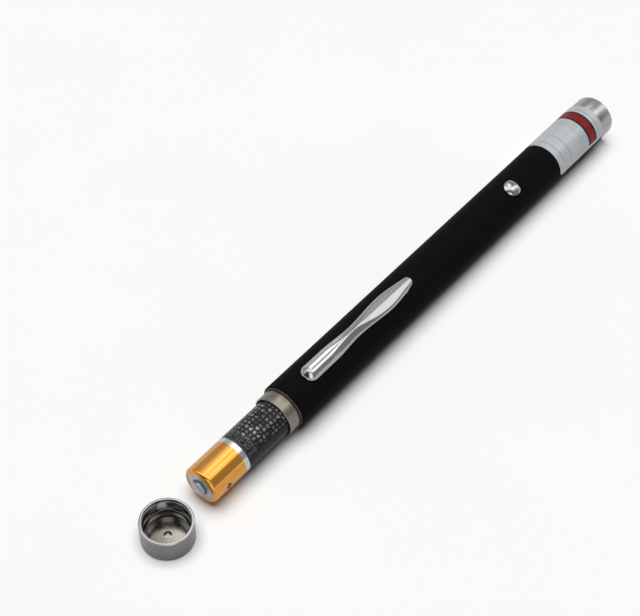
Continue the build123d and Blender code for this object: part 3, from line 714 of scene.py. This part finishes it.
def contact_finish():
    """Tinned contact plate, warm grey, with wear rings round its middle."""
    place = point_of("cap_contact_tin", CAP_FOOT)
    x, y = place.split()[:2]
    out = (x * x + y * y).math("SQRT")
    wear = place.tree.join(out * 2.2, 0.0, 0.0).noise(1.0)
    blots = place.noise(0.7, 4.0, 0.6)
    worn = wear * 0.45 + blots * 0.55
    return place.surface(
        Base_Color=worn.ramp((0.3, (0.3, 0.265, 0.215)), (0.68, (0.42, 0.4, 0.37))),
        Metallic=1.0,
        Roughness=0.14 + blots * 0.1,
        Normal=blots.bump(0.01, 0.3),
    )


def moulded_finish(name, colour, roughness=0.5, metallic=0.0, grain=4.0):
    """An inner part's finish: fine grain over a colour that varies a little."""
    place = point_of(name)
    fine = place.noise(grain, 4.0, 0.6)
    broad = place.noise(grain / 8, 2.0, 0.5)
    return place.surface(
        Base_Color=(fine * 0.5 + broad * 0.5).shaded(0.3, 0.7, colour, 0.8),
        Metallic=metallic,
        Roughness=fine * 0.12 + (roughness - 0.06),
        Normal=fine.bump(0.02, 0.4),
    )


def turned_finish(name, colour, roughness=0.3):
    """Turned metal: fine rings along the axis."""
    rings = point_of(name).stretched(8.0, 0.3, 0.3).noise(1.0)
    return rings.surface(
        Base_Color=rings.shaded(0.35, 0.65, colour, 0.75),
        Metallic=1.0,
        Roughness=rings * 0.12 + roughness,
        Normal=rings.bump(0.02, 0.5),
    )


def chips_finish(name, colour, node, count=1, pitch=0.0):
    """Chip parts in a row: a dark or tan body between tinned ends."""
    place = point_of(name, TAIL, BUTTON_ANGLE)
    low, high = ends_of(node)
    half = (high - low - (count - 1) * pitch) / 2
    off = place.split()[0] - low - half
    if count > 1:
        off = (off + pitch / 2).math("FLOORED_MODULO", pitch) - pitch / 2
    tinned = off.math("ABSOLUTE").rise(half - 0.35, 0.02)
    grain = place.noise(5.0)
    return place.surface(
        Base_Color=tinned.mix(grain.mix(colour, scaled(colour, 0.7)), (0.62, 0.62, 0.64)),
        Metallic=tinned,
        Roughness=0.42 - tinned * 0.12 + grain * 0.1,
        Normal=grain.bump(0.02, 0.4),
    )


def board_finish():
    """Green board with copper tracks under its mask."""
    place = point_of("circuit_board", TAIL, BUTTON_ANGLE)
    inputs = {
        "Vector": place.stretched(0.5, 0.5, 0.0),
        "Scale": 1.0,
        "Mortar Size": 0.05,
        "Brick Width": 1.7,
        "Row Height": 0.6,
    }
    settings = {"offset": 0.37, "squash": 1.0}
    tracks = place.tree.add("ShaderNodeTexBrick", inputs, settings).out("Fac")
    grain = place.noise(3.0)
    mask = grain.mix((0.02, 0.13, 0.05), (0.03, 0.19, 0.07))
    edge = (place.split()[2] - BOARD_LEVEL).math("ABSOLUTE").rise(BOARD_HALF, 0.02)
    return place.surface(
        Base_Color=(tracks * 0.7).mix(mask, (0.06, 0.3, 0.12)),
        Roughness=0.3 + grain * 0.12,
        Normal=(tracks + edge * grain).bump(0.03, 0.4),
    )


def glass_finish():
    """Clear lens with a faint coating."""
    haze = point_of("lens_glass").noise(2.0, 3.0, 0.5)
    return haze.surface(
        Base_Color=haze.mix((0.9, 0.95, 1.0), (0.82, 0.9, 0.98)),
        Roughness=0.03 + haze * 0.04,
        Transmission_Weight=1.0,
        IOR=1.5,
    )


# Settings


def colour_setting(name, description, default):
    limits = {"subtype": "COLOR", "min": 0.0, "max": 1.0}
    return bpy.props.FloatVectorProperty(name=name, description=description, default=default, **limits)


def number_setting(name, description, default, least=0.0, **kind):
    limits = {"min": least, **kind}
    return bpy.props.FloatProperty(name=name, description=description, default=default, **limits)


def size_setting(name, description, default, least):
    return number_setting(name, description, default * MM, least * MM, unit="LENGTH")


class PointerFinishSettings(bpy.types.PropertyGroup):
    """Colours of the pointer's outside."""

    paint: colour_setting("Paint", "Colour of the barrel's paint", (0.0038, 0.0039, 0.0038))
    matte: number_setting("Paint roughness", "How matte the paint is", 0.5, subtype="FACTOR", max=1.0)
    plating: colour_setting("Plating", "Colour of the bright plating", (0.52, 0.52, 0.53))
    nickel: colour_setting("Nickel", "Colour of the tail collar", (0.33, 0.305, 0.255))
    foil: colour_setting("Foil", "Colour of the label's ground", (0.56, 0.58, 0.6))
    stripe: colour_setting("Stripe", "Colour of the label's band", (0.24, 0.008, 0.012))
    amber: colour_setting("Cell end", "Colour of the cell's metallic end", (0.9, 0.4, 0.065))
    charcoal: colour_setting("Cell body", "Ground colour of the cell's body", (0.008, 0.008, 0.009))
    patch: colour_setting("Cell patches", "Colour of the patches on the cell", (0.33, 0.335, 0.345))


class PointerShapeSettings(bpy.types.PropertyGroup):
    """Sizes of the pointer's pressed and wound pieces."""

    clip_thickness: size_setting("Clip sheet", "Thickness of the pocket clip's sheet", 0.5, 0.1)
    label_thickness: size_setting("Label", "Thickness of the foil label", 0.08, 0.01)
    button_dome: size_setting("Button dome", "Height of the button's middle over the barrel", 0.95, 0.1)
    battery_turns: number_setting("Contact spring turns", "Turns of the spring behind the cells", 6.0, 1.0)
    lens_turns: number_setting("Lens spring turns", "Turns of the spring in the laser module", 5.0, 1.0)


class PointerStageSettings(bpy.types.PropertyGroup):
    """The floor, the light and the camera."""

    floor: colour_setting("Floor", "Colour of the floor", (0.93, 0.93, 0.92))
    fill: number_setting("Fill light", "Strength of the even light from all round", 0.1)
    key: number_setting("Key light", "Strength of the soft lamp that throws the shadow", 2.95)
    key_softness: number_setting("Key softness", "Angle the lamp fills", math.radians(51), subtype="ANGLE")
    lens: number_setting("Lens", "Focal length of the camera", 82.46, 1.0, unit="CAMERA")


# Barrel, collar, ferrule and label


class POINTER_OT_barrel(bpy.types.Operator):
    """Smooth painted barrel with the button's hole and the clip's slot"""

    bl_idname = "pointer.barrel"
    bl_label = "Barrel"

    def execute(self, context):
        # The rings stand closer together where the slot and the hole are cut
        rings = [x for x in (*range(8, 15), *range(15, 95, 8)) if x < BUTTON_PLACE - 5]
        rings += [BUTTON_PLACE + 0.5 * number for number in range(-8, 9)]
        rings += [BUTTON_PLACE + 8 * number for number in range(1, 5)]
        seat, lip = SEAT_RADIUS + SEAT_PLAY, LIP_RADIUS + SEAT_PLAY
        outline = stepped(0, lip, BARREL_RADIUS, BARREL_LENGTH, BORE_RADIUS, SEAT_DEPTH, seat, LIP_DEPTH, lip)
        outline[2:2] = [(x, BARREL_RADIUS) for x in rings]
        rounds = {1: 0.25, len(rings) + 2: 0.2}
        made = settle(new_object("barrel", lathe(rounded(outline, rounds, 4))))
        top, wide = 9, BUTTON_RADIUS + BUTTON_PLAY
        hole = lathe([(0, 0), (top, 0), (top, wide), (0, wide)], SMALL_SEGMENTS, True)
        cut_away(made, tilted(moved(hole, BUTTON_PLACE), BUTTON_ANGLE))
        across = LUG_HALF + SLOT_PLAY
        slot = block((LUG_START - SLOT_PLAY, -across, 0), (LUG_END + SLOT_PLAY, across, top))
        cut_away(made, tilted(slot, CLIP_ANGLE))
        dress(made, paint_finish(context.scene.pointer_finish), "barrel", "black_paint", "barrel_tube")
        return {"FINISHED"}


class POINTER_OT_collar(bpy.types.Operator):
    """Brushed sleeve in the open tail: lip, groove, band and rounded mouth"""

    bl_idname = "pointer.collar"
    bl_label = "Tail collar"

    def execute(self, context):
        groove = [GROOVE_START, GROOVE_RADIUS, GROOVE_END]
        lip = [LIP_RADIUS, LIP_DEPTH]
        band = [SEAT_RADIUS, SEAT_DEPTH]
        outline = stepped(COLLAR_START, BORE_RADIUS, SEAT_RADIUS, *groove, *lip, *band, BORE_RADIUS)
        rounds = {0: 0.12, 1: 0.14, 2: 0.06, 3: 0.08, 4: 0.08, 5: 0.12}
        material = collar_finish(context.scene.pointer_finish)
        shape = lathe(rounded(outline, rounds, 4))
        piece("collar", shape, material, "barrel", "brushed_nickel", "tail_collar")
        return {"FINISHED"}


class POINTER_OT_ferrule(bpy.types.Operator):
    """Bright nose with its turned edge, funnel and aperture"""

    bl_idname = "pointer.ferrule"
    bl_label = "Front ferrule"

    def execute(self, context):
        radius = BARREL_RADIUS - FERRULE_INSET
        start, wall = BARREL_LENGTH - SPIGOT_LENGTH, NOSE - FRONT_WALL
        outside = [SPIGOT_RADIUS, BARREL_LENGTH, radius, NOSE, FUNNEL_RADIUS]
        outline = stepped(start, MODULE_SEAT_RADIUS, *outside)
        outline += [(NOSE - FUNNEL_DEPTH, APERTURE_RADIUS)]
        outline += stepped(wall, APERTURE_RADIUS, MODULE_SEAT_RADIUS)
        rounds = {3: 0.1, 4: 0.35, 5: 0.12, 6: 0.1}
        material = ferrule_finish(context.scene.pointer_finish)
        shape = lathe(rounded(outline, rounds))
        piece("ferrule", shape, material, "barrel", "satin_plating", "front_ferrule")
        return {"FINISHED"}


class POINTER_OT_label(bpy.types.Operator):
    """Foil label wrapped most of the way round the nose"""

    bl_idname = "pointer.label"
    bl_label = "Foil label"

    def execute(self, context):
        low, high = ends_of("label_wrap")
        steps, columns = 150, 12
        wrap = LABEL_END - LABEL_START

        def place(step, column):
            angle = math.radians(LABEL_START + wrap * step / steps)
            from_end = wrap * min(step, steps - step) / steps * math.radians(BARREL_RADIUS)
            inset = corner_inset(LABEL_CORNER, from_end)
            x = low + inset + (high - low - 2 * inset) * column / columns
            return x, -BARREL_RADIUS * math.sin(angle), BARREL_RADIUS * math.cos(angle)

        made = new_object("label", sheet(steps, columns, place))
        thickness = context.scene.pointer_shape.label_thickness
        add_modifier(made, "SOLIDIFY", thickness=thickness, offset=1.0, use_even_offset=True)
        settle(made)
        dress(made, label_finish(context.scene.pointer_finish), "barrel", "label_foil", "label_wrap")
        return {"FINISHED"}


# Pocket clip


def eased(stations, x):
    """A smooth curve through (x, value) stations that never swings past them."""
    pairs = list(zip(stations, stations[1:]))
    rises = [(y1 - y0) / (x1 - x0) for (x0, y0), (x1, y1) in pairs]
    inner = [2 * a * b / (a + b) if a * b > 0 else 0.0 for a, b in zip(rises, rises[1:])]
    slopes = [rises[0], *inner, rises[-1]]
    x = min(max(x, stations[0][0]), stations[-1][0])
    number = sum(x > station[0] for station in stations[1:])
    (x0, y0), (x1, y1) = pairs[number]
    run = x1 - x0
    t = (x - x0) / run
    start = y0 * (1 + 2 * t) + slopes[number] * run * t
    finish = y1 * (3 - 2 * t) - slopes[number + 1] * run * (1 - t)
    return start * (1 - t) ** 2 + finish * t**2


def bend(over):
    """How far past a soft fold a place is."""
    return (over + math.sqrt(over * over + FOLD_ROUND**2)) / 2


def clip_height(x, y):
    """Height of the clip's outer face: a low roof, two flanks and their turned-down rims."""
    slopes = [eased(CLIP_PITCH, x), eased(CLIP_FLANK, x)]
    slopes.append(slopes[1] + RIM_TURN)
    pitch, flank, rim = [math.tan(math.radians(slope)) for slope in slopes]
    roof = eased(CLIP_ROOF, x)
    fold = roof + (eased(CLIP_HALF, x) - roof) * RIM_SHARE
    crest = eased(CLIP_CREST, x)
    out = math.hypot(max(CLIP_START + NOSE_CORNER - x, 0), y)
    fall = pitch * (math.hypot(out, crest) - crest)
    fall += (flank - pitch) * bend(out - roof) + (rim - flank) * bend(out - fold)
    return eased(CLIP_RIDGE, x) - fall


class POINTER_OT_clip(bpy.types.Operator):
    """Pressed clip: roofed sheet with turned-down flanks, its bead and its lug"""

    bl_idname = "pointer.clip"
    bl_label = "Pocket clip"

    def execute(self, context):
        rows, columns = 190, 84

        def place(row, column):
            # The rows stand closer together at both ends
            share = row / rows
            ease = 0.5 - 0.5 * math.cos(math.pi * share)
            along = (CLIP_LENGTH - 2 * CLIP_MARGIN) * (0.35 * share + 0.65 * ease)
            x = CLIP_START + CLIP_MARGIN + along
            half = eased(CLIP_HALF, x)
            half -= corner_inset(NOSE_CORNER, x - CLIP_START) + corner_inset(TIP_CORNER, CLIP_END - x)
            y = max(half, 0.05) * (2 * column / columns - 1)
            return x, y, clip_height(x, y)

        made = new_object("clip", tilted(sheet(rows, columns, place), CLIP_ANGLE))
        thickness = context.scene.pointer_shape.clip_thickness
        add_modifier(made, "SOLIDIFY", thickness=thickness, offset=-1.0)
        edge = {"limit_method": "ANGLE", "angle_limit": math.radians(60)}
        add_modifier(made, "BEVEL", width=0.1 * MM, segments=2, **edge)
        settle(made)
        # What would reach into the barrel lies on it instead
        clear = (BARREL_RADIUS + CLIP_CLEARANCE) * MM
        for point in made.data.vertices:
            out = Vector((0, point.co.y - TAIL.y, point.co.z - TAIL.z))
            if out.length < clear:
                point.co += out.normalized() * (clear - out.length)
        plating = context.scene.pointer_finish.plating
        material = plating_finish("clip_plating", plating, 0.14, CLIP_ANGLE, (0.15, 2.0, 2.0), 0.02)
        dress(made, material, "clip", "bright_plating", "pocket_clip", sharp=28)

        lug = block((LUG_START, -LUG_HALF, BORE_RADIUS + 0.15), (LUG_END, LUG_HALF, LUG_TOP))
        turns = [math.pi * step / 24 for step in range(13)]
        bead = [(-BEAD_RADIUS * math.cos(turn), BEAD_RADIUS * math.sin(turn)) for turn in turns]
        bead = lathe([*bead, (0.1, BEAD_RADIUS), (0.1, 0.0)], BEAD_SEGMENTS, True)
        shape = tilted(joined(lug, moved(bead, BEAD_PLACE, 0, BEAD_HEIGHT)), CLIP_ANGLE)
        piece("clip_foot", shape, material, "clip", "bright_plating")
        return {"FINISHED"}


# Button


class POINTER_OT_button(bpy.types.Operator):
    """Domed push button with its flange inside the barrel"""

    bl_idname = "pointer.button"
    bl_label = "Push button"

    def execute(self, context):
        crown = BARREL_RADIUS + context.scene.pointer_shape.button_dome / MM
        edge = BARREL_RADIUS + BUTTON_EDGE
        rise = crown - edge
        ball = (BUTTON_RADIUS**2 + rise**2) / (2 * rise)
        outline = []
        for step in range(25):
            across = BUTTON_RADIUS * 0.96 * step / 24
            outline.append((crown - ball + math.sqrt(ball**2 - across**2), across))
        outline += [(edge + 0.02, BUTTON_RADIUS - 0.02), (edge - 0.06, BUTTON_RADIUS)]
        hollow = [STEM_SEAT_RADIUS, crown - BUTTON_WALL, 0]
        outline += stepped(FLANGE_TOP, BUTTON_RADIUS, FLANGE_RADIUS, FLANGE_FOOT, *hollow)
        shape = tilted(moved(lathe(outline, SMALL_SEGMENTS, True), BUTTON_PLACE), BUTTON_ANGLE)
        plating = context.scene.pointer_finish.plating
        material = plating_finish("button_plating", plating, 0.17, BUTTON_ANGLE, (1.0, 1.0, 0.4), 0.03)
        piece("button", shape, material, "button", "bright_plating", "button_cap")
        return {"FINISHED"}


# Cells


class POINTER_OT_cells(bpy.types.Operator):
    """The two cells: plated cans in their printed sleeves"""

    bl_idname = "pointer.cells"
    bl_label = "Cells"

    def execute(self, context):
        for side in ("outer", "inner"):
            cell = side + "_cell"
            low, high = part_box(cell + "_can")
            centre = Vector((TAIL.x, (low.y + high.y) / 2, (low.z + high.z) / 2))
            tip, end = ends_of(cell + "_can")
            shoulder = tip + TERMINAL_HEIGHT
            base = [BASE_RADIUS, end - CAN_WALL, CAN_RADIUS - CAN_WALL, shoulder + CAN_WALL, 0]
            can = stepped(tip, 0, TERMINAL_RADIUS, shoulder, CAN_RADIUS, end, *base)
            rounds = {1: 0.35, 2: 0.22, 3: 0.9, 4: 0.9, 7: 0.6, 8: 0.6}
            shape = lathe(rounded(can, rounds), CAN_SEGMENTS)
            material = can_finish(cell + "_nickel", tip, centre)
            piece(side + "_can", shape, material, cell, "cell_steel", cell + "_can", origin=centre)
            inner = [SLEEVE_MOUTH, end + SLEEVE_PLAY, CAN_RADIUS + SLEEVE_PLAY, shoulder - SLEEVE_PLAY]
            outer = [SLEEVE_MOUTH, SLEEVE_RADIUS, end + SLEEVE_WALL]
            sleeve = stepped(shoulder - SLEEVE_WALL, *outer, *inner, SLEEVE_MOUTH)
            rounds = {0: 0.05, 1: 1.02, 2: 1.02, 3: 0.05, 5: 0.9, 6: 0.9}
            shape = lathe(rounded(sleeve, rounds, 8))
            material = sleeve_finish(cell + "_print", context.scene.pointer_finish, tip, centre)
            piece(side + "_sleeve", shape, material, cell, "cell_sleeve", cell + "_jacket", origin=centre)
            recoat(cell + "_base", moulded_finish(side + "_base_nickel", (0.66, 0.66, 0.68), 0.3, 1.0))
            recoat(cell + "_seal", moulded_finish(side + "_seal", (0.03, 0.03, 0.032), 0.6))
            recoat(cell + "_core", moulded_finish(side + "_core", (0.1, 0.1, 0.1), 0.6))
        return {"FINISHED"}


# Cap


class POINTER_OT_cap(bpy.types.Operator):
    """Cup-shaped cap with its ledge, fine thread, well and contact plate"""

    bl_idname = "pointer.cap"
    bl_label = "Tail cap"

    def execute(self, context):
        ledge = CAP_HEIGHT - LEDGE_DEPTH
        well = CAP_HEIGHT - WELL_DEPTH
        outline = stepped(0, 0, CAP_RADIUS, CAP_HEIGHT, MOUTH_RADIUS, ledge, THREAD_RADIUS)
        for number in range(THREAD_TURNS):
            top = CAP_HEIGHT - THREAD_DEPTH - THREAD_PITCH * number
            outline += [(top, THREAD_RADIUS), (top - THREAD_PITCH / 3, THREAD_ROOT)]
            outline += [(top - THREAD_PITCH * 2 / 3, THREAD_ROOT)]
        outline += stepped(well, THREAD_RADIUS, WELL_RADIUS, CAP_FLOOR, 0)
        rounds = {1: 0.45, 2: 0.3, 3: 0.06, 5: 0.06}
        shape = lathe(rounded(outline, rounds, 5), upright=True)
        material = cap_finish(context.scene.pointer_finish)
        piece("cap", shape, material, "tail_cap", "bright_plating", "cap_shell", origin=CAP_FOOT, sharp=28)
        plate = stepped(CAP_FLOOR, 0, CONTACT_RADIUS, CONTACT_TOP) + CONTACT_PIP
        shape = lathe(rounded(plate, {2: 0.08, 3: 0.3, 4: 0.3, 5: 0.2}, 4), SMALL_SEGMENTS, True)
        material = contact_finish()
        piece("contact", shape, material, "tail_cap", "tinned_metal", "cap_contact", origin=CAP_FOOT)
        return {"FINISHED"}


# Springs


def spring_tree(material):
    """Geometry nodes that wind a round wire along +X, and the identifiers of their inputs."""
    nodes = bpy.data.node_groups.new("wound_spring", "GeometryNodeTree")
    sockets = {}
    for name in ("Start", "Turns", "Start Radius", "End Radius", "Length", "Wire Radius"):
        kind = "NodeSocketVector" if name == "Start" else "NodeSocketFloat"
        sockets[name] = nodes.interface.new_socket(name, in_out="INPUT", socket_type=kind).identifier
    nodes.interface.new_socket("Geometry", in_out="OUTPUT", socket_type="NodeSocketGeometry")
    tree = Tree(nodes)
    given = tree.add("NodeGroupInput")
    spiral = {
        "Resolution": 40,
        "Rotations": given.out("Turns"),
        "Start Radius": given.out("Start Radius"),
        "End Radius": given.out("End Radius"),
        "Height": given.out("Length"),
    }
    place = {
        "Geometry": tree.add("GeometryNodeCurveSpiral", spiral),
        "Translation": given.out("Start"),
        "Rotation": (0, math.radians(90), 0),
    }
    section = {"Resolution": 14, "Radius": given.out("Wire Radius")}
    wire = {
        "Curve": tree.add("GeometryNodeTransform", place),
        "Profile Curve": tree.add("GeometryNodeCurvePrimitiveCircle", section),
        "Fill Caps": True,
    }
    wound = tree.add("GeometryNodeCurveToMesh", wire)
    real = tree.add("GeometryNodeRealizeInstances", {"Geometry": wound})
    coated = tree.add("GeometryNodeSetMaterial", {"Geometry": real, "Material": material})
    tree.add("NodeGroupOutput", {"Geometry": coated})
    return nodes, sockets


class POINTER_OT_springs(bpy.types.Operator):
    """The contact spring behind the cells and the small spring behind the lens"""

    bl_idname = "pointer.springs"
    bl_label = "Springs"

    def execute(self, context):
        sizes = context.scene.pointer_shape
        material = moulded_finish("spring_plating", (0.6, 0.6, 0.62), 0.24, 1.0, 6.0)
        nodes, sockets = spring_tree(material)
        for name, node, turns, start_radius, end_radius, wire in (
            ("contact_spring", "battery_spring", sizes.battery_turns, 2.6, 4.2, 0.3),
            ("lens_coil", "lens_spring", sizes.lens_turns, 2.9, 2.9, 0.2),
        ):
            low, high = ends_of(node)
            made = new_object(name, ([], []))
            winding = add_modifier(made, "NODES", node_group=nodes)
            values = {
                "Start": TAIL + Vector(((low + wire) * MM, 0, 0)),
                "Turns": turns,
                "Start Radius": start_radius * MM,
                "End Radius": end_radius * MM,
                "Length": (high - low - 2 * wire) * MM,
                "Wire Radius": wire * MM,
            }
            for socket, value in values.items():
                winding[sockets[socket]] = value
            dress(settle(made), material, "barrel", "spring_steel", node, sharp=60)
            if node == "battery_spring":
                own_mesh(made)
        return {"FINISHED"}


# Inner parts that keep the shape they have in the frame


class POINTER_OT_inner_parts(bpy.types.Operator):
    """Finishes of the switch, the board and the laser module inside the barrel"""

    bl_idname = "pointer.inner_parts"
    bl_label = "Inner parts"

    def execute(self, context):
        black = moulded_finish("switch_plastic", (0.03, 0.03, 0.034), 0.5)
        white = moulded_finish("white_plastic", (0.8, 0.78, 0.73), 0.5)
        tin = moulded_finish("tinned_metal", (0.66, 0.66, 0.67), 0.3, 1.0)
        resistors = ("chip_body", (0.05, 0.05, 0.06), "chip_resistors", 3, 2.4)
        capacitors = ("capacitor_body", (0.5, 0.36, 0.22), "chip_capacitors")
        finishes = {
            "button_stem": white,
            "switch_base": black,
            "switch_plunger": black,
            "switch_cover": tin,
            "switch_terminals": tin,
            "driver_board": board_finish(),
            "trim_potentiometer": moulded_finish("trimmer_body", (0.8, 0.8, 0.77), 0.35),
            "driver_transistor": moulded_finish("transistor_body", (0.04, 0.04, 0.044), 0.45),
            "chip_resistors": chips_finish(*resistors),
            "chip_capacitors": chips_finish(*capacitors),
            "board_carrier": white,
            "spring_plate": tin,
            "module_housing": turned_finish("module_brass", (0.72, 0.52, 0.22)),
            "laser_diode": turned_finish("diode_plating", (0.82, 0.62, 0.28), 0.2),
            "diode_leads": tin,
            "lens_holder": turned_finish("lens_holder_brass", (0.7, 0.5, 0.22), 0.34),
            "collimating_lens": glass_finish(),
        }
        for node, material in finishes.items():
            recoat(node, material)
        return {"FINISHED"}


# Stage

# Brightness of the room by clock angle, as shiny faces see it
ROOM = (
    (-180, 0.85), (-125, 0.85), (-98, 0.6), (-80, 0.45), (-50, 0.45), (-40, 0.62), (-14, 0.52), (12, 0.55),
    (14, 2.3), (21, 2.2), (25, 1.4), (34, 1.45), (39, 0.3), (84, 0.3), (94, 0.6), (180, 0.6),
)
# What a softer lamp adds to it, up to a direction along the barrel
LAMP = (
    (-40, 0.0), (-30, 0.55), (-20, 0.95), (-12, 1.5), (-8, 2.4), (-4, 1.5), (2, 0.8), (12, 0.8), (14, 0.0),
)
BRIGHTEST = 2.5
WHITE = (1.0, 1.0, 1.0)

FLOOR_HALF = 2000.0
FLOOR_DROP = 0.01
KEY_FROM = Vector((0.0, 0.06, 1.0))
# Where the camera stands, from the floor under the tail, and which ways are its right and back
CAMERA_SPOT = Vector((-167.56, -144.66, 306.74))
CAMERA_RIGHT = Vector((0.639, -0.769, 0.017))
CAMERA_BACK = Vector((-0.506, -0.403, 0.762))
SENSOR_WIDTH = 36.0


def brightness(angle, table):
    """A level from a table by clock angle."""
    stops = [((degrees + 180) / 360, scaled(WHITE, level / BRIGHTEST)) for degrees, level in table]
    return ((angle + 180) / 360).ramp(*stops).split()[0] * BRIGHTEST


def soft_boxes(tree):
    """What shiny faces see: a room with soft boxes, white near the horizon."""
    x, y, z = tree.add("ShaderNodeTexCoord").out("Generated").split()
    angle = clock(y, z)
    slanted = angle - (x + 0.1) * 62.0
    forward = x.rise(0.3, 0.03)
    beyond = x.rise(0.76, 0.02)
    room = brightness(angle, ROOM)
    plain = room.math("MINIMUM", 0.6)
    lamp = brightness(angle, LAMP) * (1 - x.rise(0.457, 0.012))
    wide_box = angle.band(-34.0, -14.0, 1.5) * x.band(0.455, 0.61, 0.012)
    side_box = slanted.band(-40.0, 12.0, 3.0) * x.rise(-0.5, 0.05) * (1 - forward)
    front_box = slanted.band(47.0, 110.0, 4.0) * x.band(-0.72, -0.25, 0.04)
    end_box = slanted.band(-52.0, -5.0, 3.0) * beyond
    dim = angle.band(-62.0, 12.0, 4.0) * x.rise(0.64, 0.02)
    shade = slanted.band(15.0, 44.0, 3.0) * (1 - x.rise(0.06, 0.08))
    level = plain + (room - plain + lamp + wide_box * 1.7) * (forward - beyond)
    level = (level + side_box + end_box + front_box * 1.2) * (1 - dim * 0.35)
    level = level * (0.15 + x.rise(-0.72, 0.08) * 0.85) * (1 - shade * 0.7)
    backdrop = 1 - z.math("ABSOLUTE").rise(0.1, 0.06)
    return level + (1 - level) * backdrop


def world_light(fill):
    """White to the camera and to glass, soft boxes to shiny faces, and even light to the rest."""
    world = bpy.data.worlds.new("studio")
    bpy.context.scene.world = world
    tree = shader_tree(world)

    def glow(strength):
        return tree.add("ShaderNodeBackground", {"Color": WHITE, "Strength": strength})

    path = tree.add("ShaderNodeLightPath")
    inputs = {0: path.out("Is Glossy Ray"), 1: glow(fill), 2: glow(soft_boxes(tree))}
    light = tree.add("ShaderNodeMixShader", inputs)
    seen = path.out("Is Camera Ray").math("MAXIMUM", path.out("Is Transmission Ray"))
    light = tree.add("ShaderNodeMixShader", {0: seen, 1: light, 2: glow(1.0)})
    tree.add("ShaderNodeOutputWorld", {"Surface": light})


def floor_finish(colour):
    """Pale floor, a little darker in the faces that mirror it."""
    tone = point_of("floor", (0, 0, 0)).noise(0.02, 2.0, 0.5)
    tree = tone.tree
    shiny = tree.add("ShaderNodeLightPath").out("Is Glossy Ray")
    pale = tone.mix(colour, scaled(colour, 0.985))
    base = tree.add("ShaderNodeBsdfDiffuse", {"Color": shiny.mix(pale, scaled(colour, 0.72))})
    tree.add("ShaderNodeOutputMaterial", {"Surface": base})
    return tree.owner


class POINTER_OT_stage(bpy.types.Operator):
    """Pale floor, soft key light, studio world and the camera"""

    bl_idname = "pointer.stage"
    bl_label = "Stage"

    def execute(self, context):
        settings = context.scene.pointer_stage
        corners = ((-1, -1), (1, -1), (1, 1), (-1, 1))
        points = [(x * FLOOR_HALF, y * FLOOR_HALF, -FLOOR_DROP) for x, y in corners]
        floor = new_object("floor", (points, [(0, 1, 2, 3)]), Vector((0, 0, 0)))
        floor.data.materials.append(floor_finish(settings.floor))

        lamp = bpy.data.lights.new("key", "SUN")
        lamp.energy = settings.key
        lamp.angle = settings.key_softness
        key = bpy.data.objects.new("key", lamp)
        key.rotation_euler = KEY_FROM.to_track_quat("Z", "Y").to_euler()
        key.visible_glossy = False
        context.scene.collection.objects.link(key)
        world_light(settings.fill)

        lens = bpy.data.cameras.new("camera")
        lens.sensor_width = SENSOR_WIDTH
        lens.lens = settings.lens
        lens.clip_start, lens.clip_end = 0.01, 10.0
        camera = bpy.data.objects.new("camera", lens)
        right = CAMERA_RIGHT.normalized()
        back = (CAMERA_BACK - right * CAMERA_BACK.dot(right)).normalized()
        turn = Matrix((right, back.cross(right), back)).transposed().to_4x4()
        spot = Vector((TAIL.x, TAIL.y, 0)) + CAMERA_SPOT * MM
        camera.matrix_world = Matrix.Translation(spot) @ turn
        context.scene.collection.objects.link(camera)
        context.scene.camera = camera
        context.scene.view_settings.view_transform = "Standard"
        return {"FINISHED"}


OPERATORS = (
    POINTER_OT_barrel,
    POINTER_OT_collar,
    POINTER_OT_ferrule,
    POINTER_OT_label,
    POINTER_OT_clip,
    POINTER_OT_button,
    POINTER_OT_cells,
    POINTER_OT_cap,
    POINTER_OT_springs,
    POINTER_OT_inner_parts,
    POINTER_OT_stage,
)


class POINTER_PT_sidebar(bpy.types.Panel):
    """Lists the pointer's settings and pieces"""

    bl_idname = "POINTER_PT_sidebar"
    bl_label = "Laser pointer"
    bl_space_type = "VIEW_3D"
    bl_region_type = "UI"
    bl_category = "Pointer"

    def draw(self, context):
        scene = context.scene
        for group in (scene.pointer_finish, scene.pointer_shape, scene.pointer_stage):
            column = self.layout.column()
            for name in group.bl_rna.properties.keys():
                if name not in ("rna_type", "name"):
                    column.prop(group, name)
        for operator in OPERATORS:
            self.layout.operator(operator.bl_idname)


GROUPS = (PointerFinishSettings, PointerShapeSettings, PointerStageSettings)


def register():
    for item in (*GROUPS, *OPERATORS, POINTER_PT_sidebar):
        bpy.utils.register_class(item)
    scene = bpy.types.Scene
    scene.pointer_finish = bpy.props.PointerProperty(type=PointerFinishSettings)
    scene.pointer_shape = bpy.props.PointerProperty(type=PointerShapeSettings)
    scene.pointer_stage = bpy.props.PointerProperty(type=PointerStageSettings)


def unregister():
    scene = bpy.types.Scene
    del scene.pointer_finish, scene.pointer_shape, scene.pointer_stage
    for item in reversed((*GROUPS, *OPERATORS, POINTER_PT_sidebar)):
        bpy.utils.unregister_class(item)


def main():
    register()
    bpy.ops.pointer.barrel()
    bpy.ops.pointer.collar()
    bpy.ops.pointer.ferrule()
    bpy.ops.pointer.label()
    bpy.ops.pointer.clip()
    bpy.ops.pointer.button()
    bpy.ops.pointer.cells()
    bpy.ops.pointer.cap()
    bpy.ops.pointer.springs()
    bpy.ops.pointer.inner_parts()
    bpy.ops.pointer.stage()


if __name__ == "__main__":
    main()
